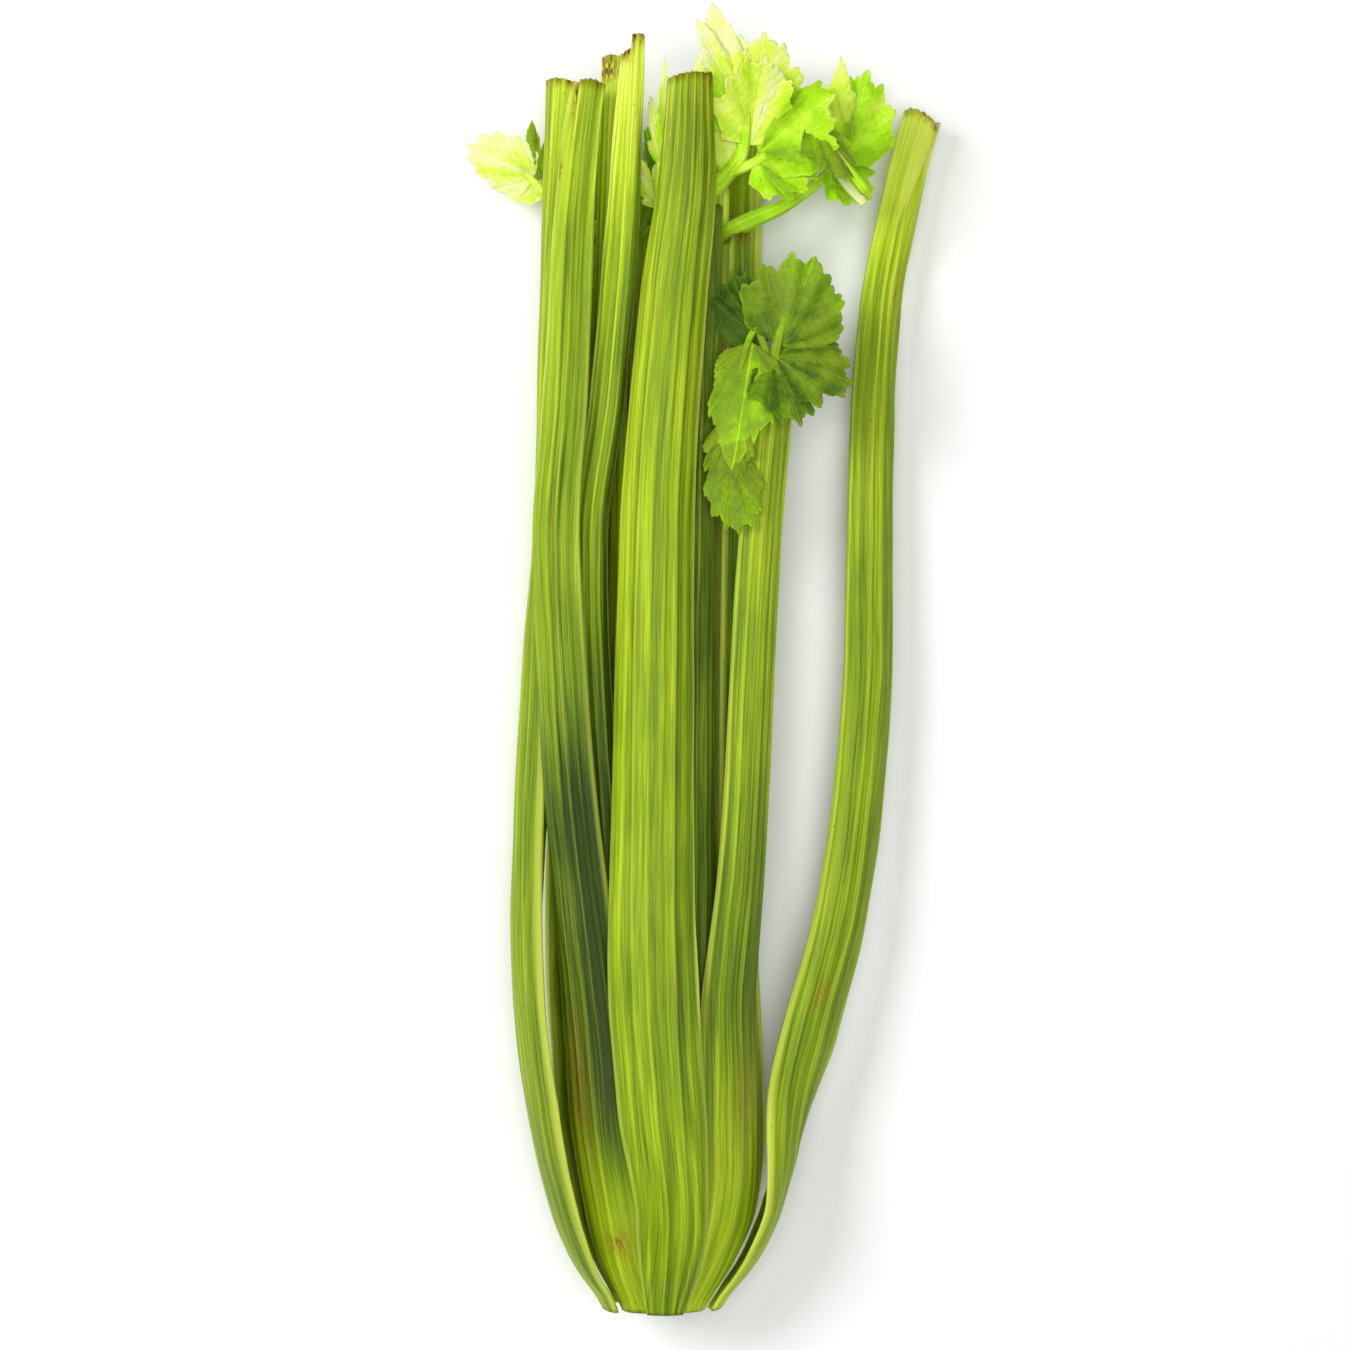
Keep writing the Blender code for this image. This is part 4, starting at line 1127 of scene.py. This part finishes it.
def stalk_flesh(name, extra_light):
    """Ribbed stalk skin: streaked greens, pale strings on the ridges, painted shade in the furrows, brown
    marks.
    """
    f = Finish(
        name, Subsurface_Weight=0.12, Subsurface_Radius=(0.8, 1.0, 0.25), Subsurface_Scale=0.0012,
        Specular_IOR_Level=0.2,
    )
    grain = f.attribute("grain", vector=True)
    ridge = f.attribute("ridge")
    streak = f.noise(f.times(grain, (0.85, 0.016, 0.37)), detail=4.0, rough=0.6)
    thread = f.noise(f.times(grain, (3.6, 0.05, 0.37)), detail=3.0, rough=0.6)
    patch = f.noise(f.times(grain, (0.09, 0.02, 0.37)), detail=2.0)
    # Its tone carries painted shade on recessed stalks and at shaded edges.
    light = f.number("ADD", f.attribute("lightness"), extra_light)
    light = f.varied(light, streak, 0.25, 0.75, 0.22)
    light = f.varied(light, thread, 0.3, 0.7, 0.24)
    light = f.varied(light, patch, 0.3, 0.7, 0.15)
    # A little lighter on the ridges, and darker in the furrows as painted shade.
    light = f.number("MULTIPLY_ADD", f.between(ridge, -0.3, 0.3, -0.05, 0.05), 1.0, light, clamp=True)
    colour = f.ramp(light, GREENS)
    strings = f.number("MULTIPLY", f.between(ridge, 0.3, 1.0), f.between(streak, 0.3, 0.62, 0.3, 0.75))
    pale_green = f.ramp(f.number("ADD", light, 0.24, clamp=True), GREENS)
    colour = f.mix(strings, colour, f.mix(0.45, pale_green, PALE_STRING))
    colour = f.mix(f.between(ridge, 0.85, 1.3, 0.0, 0.8), colour, PALE_EDGE)
    colour = f.mix(f.number("MULTIPLY", f.attribute("pale"), 0.65), colour, PALE_STRING)
    tan = f.number("MULTIPLY", f.between(patch, 0.5, 0.72), f.between(thread, 0.4, 0.7, 0.0, 0.35))
    colour = f.mix(tan, colour, OLIVE_TAN)
    break_up = f.noise(f.times(grain, (1.3, 0.45, 0.37)), detail=4.0, rough=0.65)
    stain = f.number("MULTIPLY", f.attribute("stain"), f.between(break_up, 0.32, 0.62))
    colour = f.mix(f.number("MULTIPLY", stain, 0.95, clamp=True), colour, RUST)
    colour = f.mix(f.between(stain, 0.55, 0.95, 0.0, 0.8), colour, DARK_STAIN)
    speck = f.cells(f.times(grain, (0.42, 0.16, 0.37)), "F1")
    spotted = f.number("MULTIPLY", f.between(speck, 0.10, 0.05), f.between(patch, 0.45, 0.6, 0.0, 0.7))
    colour = f.mix(spotted, colour, RUST)
    roughness = f.between(thread, 0.2, 0.8, 0.34, 0.55)
    ticks = f.noise(f.times(grain, (0.9, 2.6, 0.37)), detail=2.0)
    height = f.number("MULTIPLY_ADD", ticks, 0.55, thread)
    return f.done(colour, roughness, f.bump(height, 0.0003, 0.8))


def stalk_cut(name):
    """A stalk's cut end: pale wet flesh, paler strings, and browning towards the skin."""
    f = Finish(
        name, Subsurface_Weight=0.3, Subsurface_Radius=(0.9, 1.0, 0.4), Subsurface_Scale=0.003, IOR=1.4,
    )
    grain = f.attribute("grain", vector=True)
    pith = f.noise(f.times(grain, (2.2, 2.2, 0.5)), detail=4.0, rough=0.65)
    colour = f.mix(f.between(pith, 0.3, 0.7), (0.62, 0.70, 0.18), (0.78, 0.84, 0.42))
    colour = f.mix(f.number("MULTIPLY", f.attribute("ridge"), 0.8), colour, (0.42, 0.50, 0.10))
    stain = f.number("MULTIPLY", f.attribute("stain"), f.between(pith, 0.35, 0.6))
    colour = f.mix(f.number("MULTIPLY", stain, 0.9, clamp=True), colour, (0.42, 0.20, 0.03))
    colour = f.mix(f.between(stain, 0.6, 1.0, 0.0, 0.7), colour, DARK_STAIN)
    return f.done(colour, f.between(pith, 0.2, 0.8, 0.45, 0.75), f.bump(pith, 0.0004, 0.8))


def root_surface(name):
    """The root plate: a dry tan cut with rings of brown, pale green up its sides."""
    f = Finish(name, Subsurface_Weight=0.1, Subsurface_Radius=(1.0, 0.8, 0.4), Subsurface_Scale=0.002)
    place = f.tree.nodes.new("ShaderNodeTexCoord").outputs["Object"]
    crumb = f.noise(f.times(place, (900.0, 900.0, 900.0)), detail=5.0, rough=0.65)
    ring = f.number("SINE", f.number("MULTIPLY", f.attribute("ring"), 2.3))
    worn = f.number("MULTIPLY_ADD", ring, 0.16, crumb)
    cut = f.ramp(worn, ((0.25, (0.17, 0.09, 0.03)), (0.5, (0.46, 0.36, 0.15)), (0.75, (0.68, 0.60, 0.32))))
    colour = f.mix(f.attribute("cutness"), (0.46, 0.50, 0.14), cut)
    return f.done(colour, f.between(crumb, 0.3, 0.7, 0.6, 0.85), f.bump(crumb, 0.0006, 0.9))


LEAF_GREENS = (
    (0.0, (0.026, 0.060, 0.003)), (0.25, (0.085, 0.19, 0.004)), (0.5, (0.25, 0.49, 0.004)),
    (0.7, (0.45, 0.84, 0.008)), (0.88, (0.78, 0.98, 0.10)), (1.0, (0.88, 0.98, 0.42)),
)
LEAF_OLIVE = (0.25, 0.31, 0.014)
VEIN_LIGHT, NET_LIGHT, MARGIN_LIGHT = 0.16, 0.035, 0.08


def leaf_blade(name):
    """A leaf's blade: greens by its tone and painted shade, paler veins and margin, a fine net, and olive
    clouds if dark.
    """
    f = Finish(
        name, Subsurface_Weight=0.3, Subsurface_Radius=(0.6, 1.0, 0.15), Subsurface_Scale=0.0014,
        Specular_IOR_Level=0.18,
    )
    place = f.attribute("place", vector=True)
    where = f.tree.nodes.new("ShaderNodeTexCoord").outputs["Object"]
    mottle = f.noise(f.times(where, (160.0, 160.0, 160.0)), detail=4.0, rough=0.6)
    net = f.between(f.cells(f.times(place, (1.5, 1.5, 1.0))), 0.0, 0.10, 1.0, 0.0)
    vein = f.attribute("vein")
    # The leaf's tone carries painted shade where a leaf is set dark for it.
    light = f.varied(f.attribute("glow"), mottle, 0.3, 0.7, 0.16)
    light = f.number("MULTIPLY_ADD", net, NET_LIGHT, light)
    light = f.number("MULTIPLY_ADD", f.between(vein, 0.15, 0.9), VEIN_LIGHT, light)
    margin = f.between(f.attribute("margin"), 0.93, 1.0)
    light = f.number("MULTIPLY_ADD", margin, MARGIN_LIGHT, light, clamp=True)
    colour = f.ramp(light, LEAF_GREENS)
    cloud = f.noise(f.times(where, (38.0, 38.0, 38.0)), detail=3.0)
    # Olive clouds where the leaf's green is middling dark.
    olive_where_darker = f.number("MULTIPLY", f.between(light, 0.62, 0.46), f.between(light, 0.16, 0.36))
    colour = f.mix(f.number("MULTIPLY", olive_where_darker, f.between(cloud, 0.35, 0.6, 0.2, 0.6)), colour, LEAF_OLIVE)
    height = f.number("MULTIPLY_ADD", net, -0.5, mottle)
    height = f.number("MULTIPLY_ADD", vein, -0.8, height)
    return f.done(colour, f.between(mottle, 0.2, 0.8, 0.36, 0.55), f.bump(height, 0.00022, 0.8))


def plain_white(name):
    """The floor: matt white with a barely visible grain."""
    f = Finish(name, Roughness=0.85)
    where = f.tree.nodes.new("ShaderNodeTexCoord").outputs["Object"]
    grain = f.noise(f.times(where, (40.0, 40.0, 40.0)), detail=2.0)
    return f.done(f.mix(grain, (0.93, 0.93, 0.93), (0.96, 0.96, 0.96)))


# Scene


def floor():
    """A wide white floor under the head."""
    half, level = 2500.0, -0.3
    mesh = bpy.data.meshes.new("floor")
    corners = [(x * half, y * half, level) for x, y in ((-1, -1), (1, -1), (1, 1), (-1, 1))]
    mesh.from_pydata((np.array(corners) * MM).tolist(), [], [(0, 1, 2, 3)])
    mesh.materials.append(plain_white("floor_white"))
    linked("floor", mesh)


def lamp(name, place, size, power):
    """A square soft light at this place in millimetres, aimed at the head's middle."""
    data = bpy.data.lights.new(name, "AREA")
    data.size = size * MM
    data.energy = power
    made = linked(name, data)
    made.location = [v * MM for v in place]
    way = np.array(place, float) - (0, 0, 30)
    made.rotation_euler = (
        math.atan2(math.hypot(way[0], way[1]), way[2]), 0, math.atan2(way[0], -way[1]),
    )


def lights():
    """A dim white sky, a key light from the upper left, and a larger and stronger one overhead."""
    world = bpy.data.worlds.new("studio")
    world.use_nodes = True
    sky = world.node_tree.nodes["Background"].inputs
    sky["Color"].default_value = (1, 1, 1, 1)
    sky["Strength"].default_value = 0.24
    bpy.context.scene.world = world
    lamp("key", (-650, 300, 1000), 420, 7.6)
    lamp("overhead", (60, -60, 1500), 700, 13.2)
    bpy.context.scene.view_settings.view_transform = "Standard"


# The photograph is framed straight down on a square of this side, at the height of the head's front stalks.
VIEW_SIDE, VIEW_HEIGHT = 372.6, 40.0
VIEW_CENTRE = (-8.8, -3.2)
LENS, SENSOR = 85.0, 36.0


def camera():
    """The camera, straight above the head, as the photograph looks on its front."""
    data = bpy.data.cameras.new("camera")
    data.lens, data.sensor_width = LENS, SENSOR
    data.clip_start, data.clip_end = 0.05, 20
    made = linked("camera", data)
    distance = VIEW_SIDE * LENS / SENSOR
    made.location = (VIEW_CENTRE[0] * MM, VIEW_CENTRE[1] * MM, (VIEW_HEIGHT + distance) * MM)
    bpy.context.scene.camera = made


SLOTS = {
    "leaf_top": "leaf_yellow_green",
    "leaf_right": "leaf_yellow_green",
    "leaf_heart_front": "leaf_yellow_green",
    "leaf_left": "leaf_pale",
}
SHOWN_LEAVES = ("leaf_top", "leaf_right", "leaf_left", "leaf_front_right")


def main():
    camera()
    floor()
    lights()
    skin = stalk_flesh("stalk_skin", 0.0)
    inner_skin = stalk_flesh("inner_stalk_skin", 0.06)
    cut = stalk_cut("stalk_cut_end")
    for name in STALKS:
        stalk_piece(name, skin if STALKS[name][0] in ("outer", "nested") else inner_skin, cut)
    root_piece(root_surface("root_plate_cut"))
    blade = leaf_blade("leaf_blade")
    for name in LEAVES:
        leaf_piece(name, blade, SLOTS.get(name, "leaf_green"), name in SHOWN_LEAVES)
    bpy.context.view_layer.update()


main()
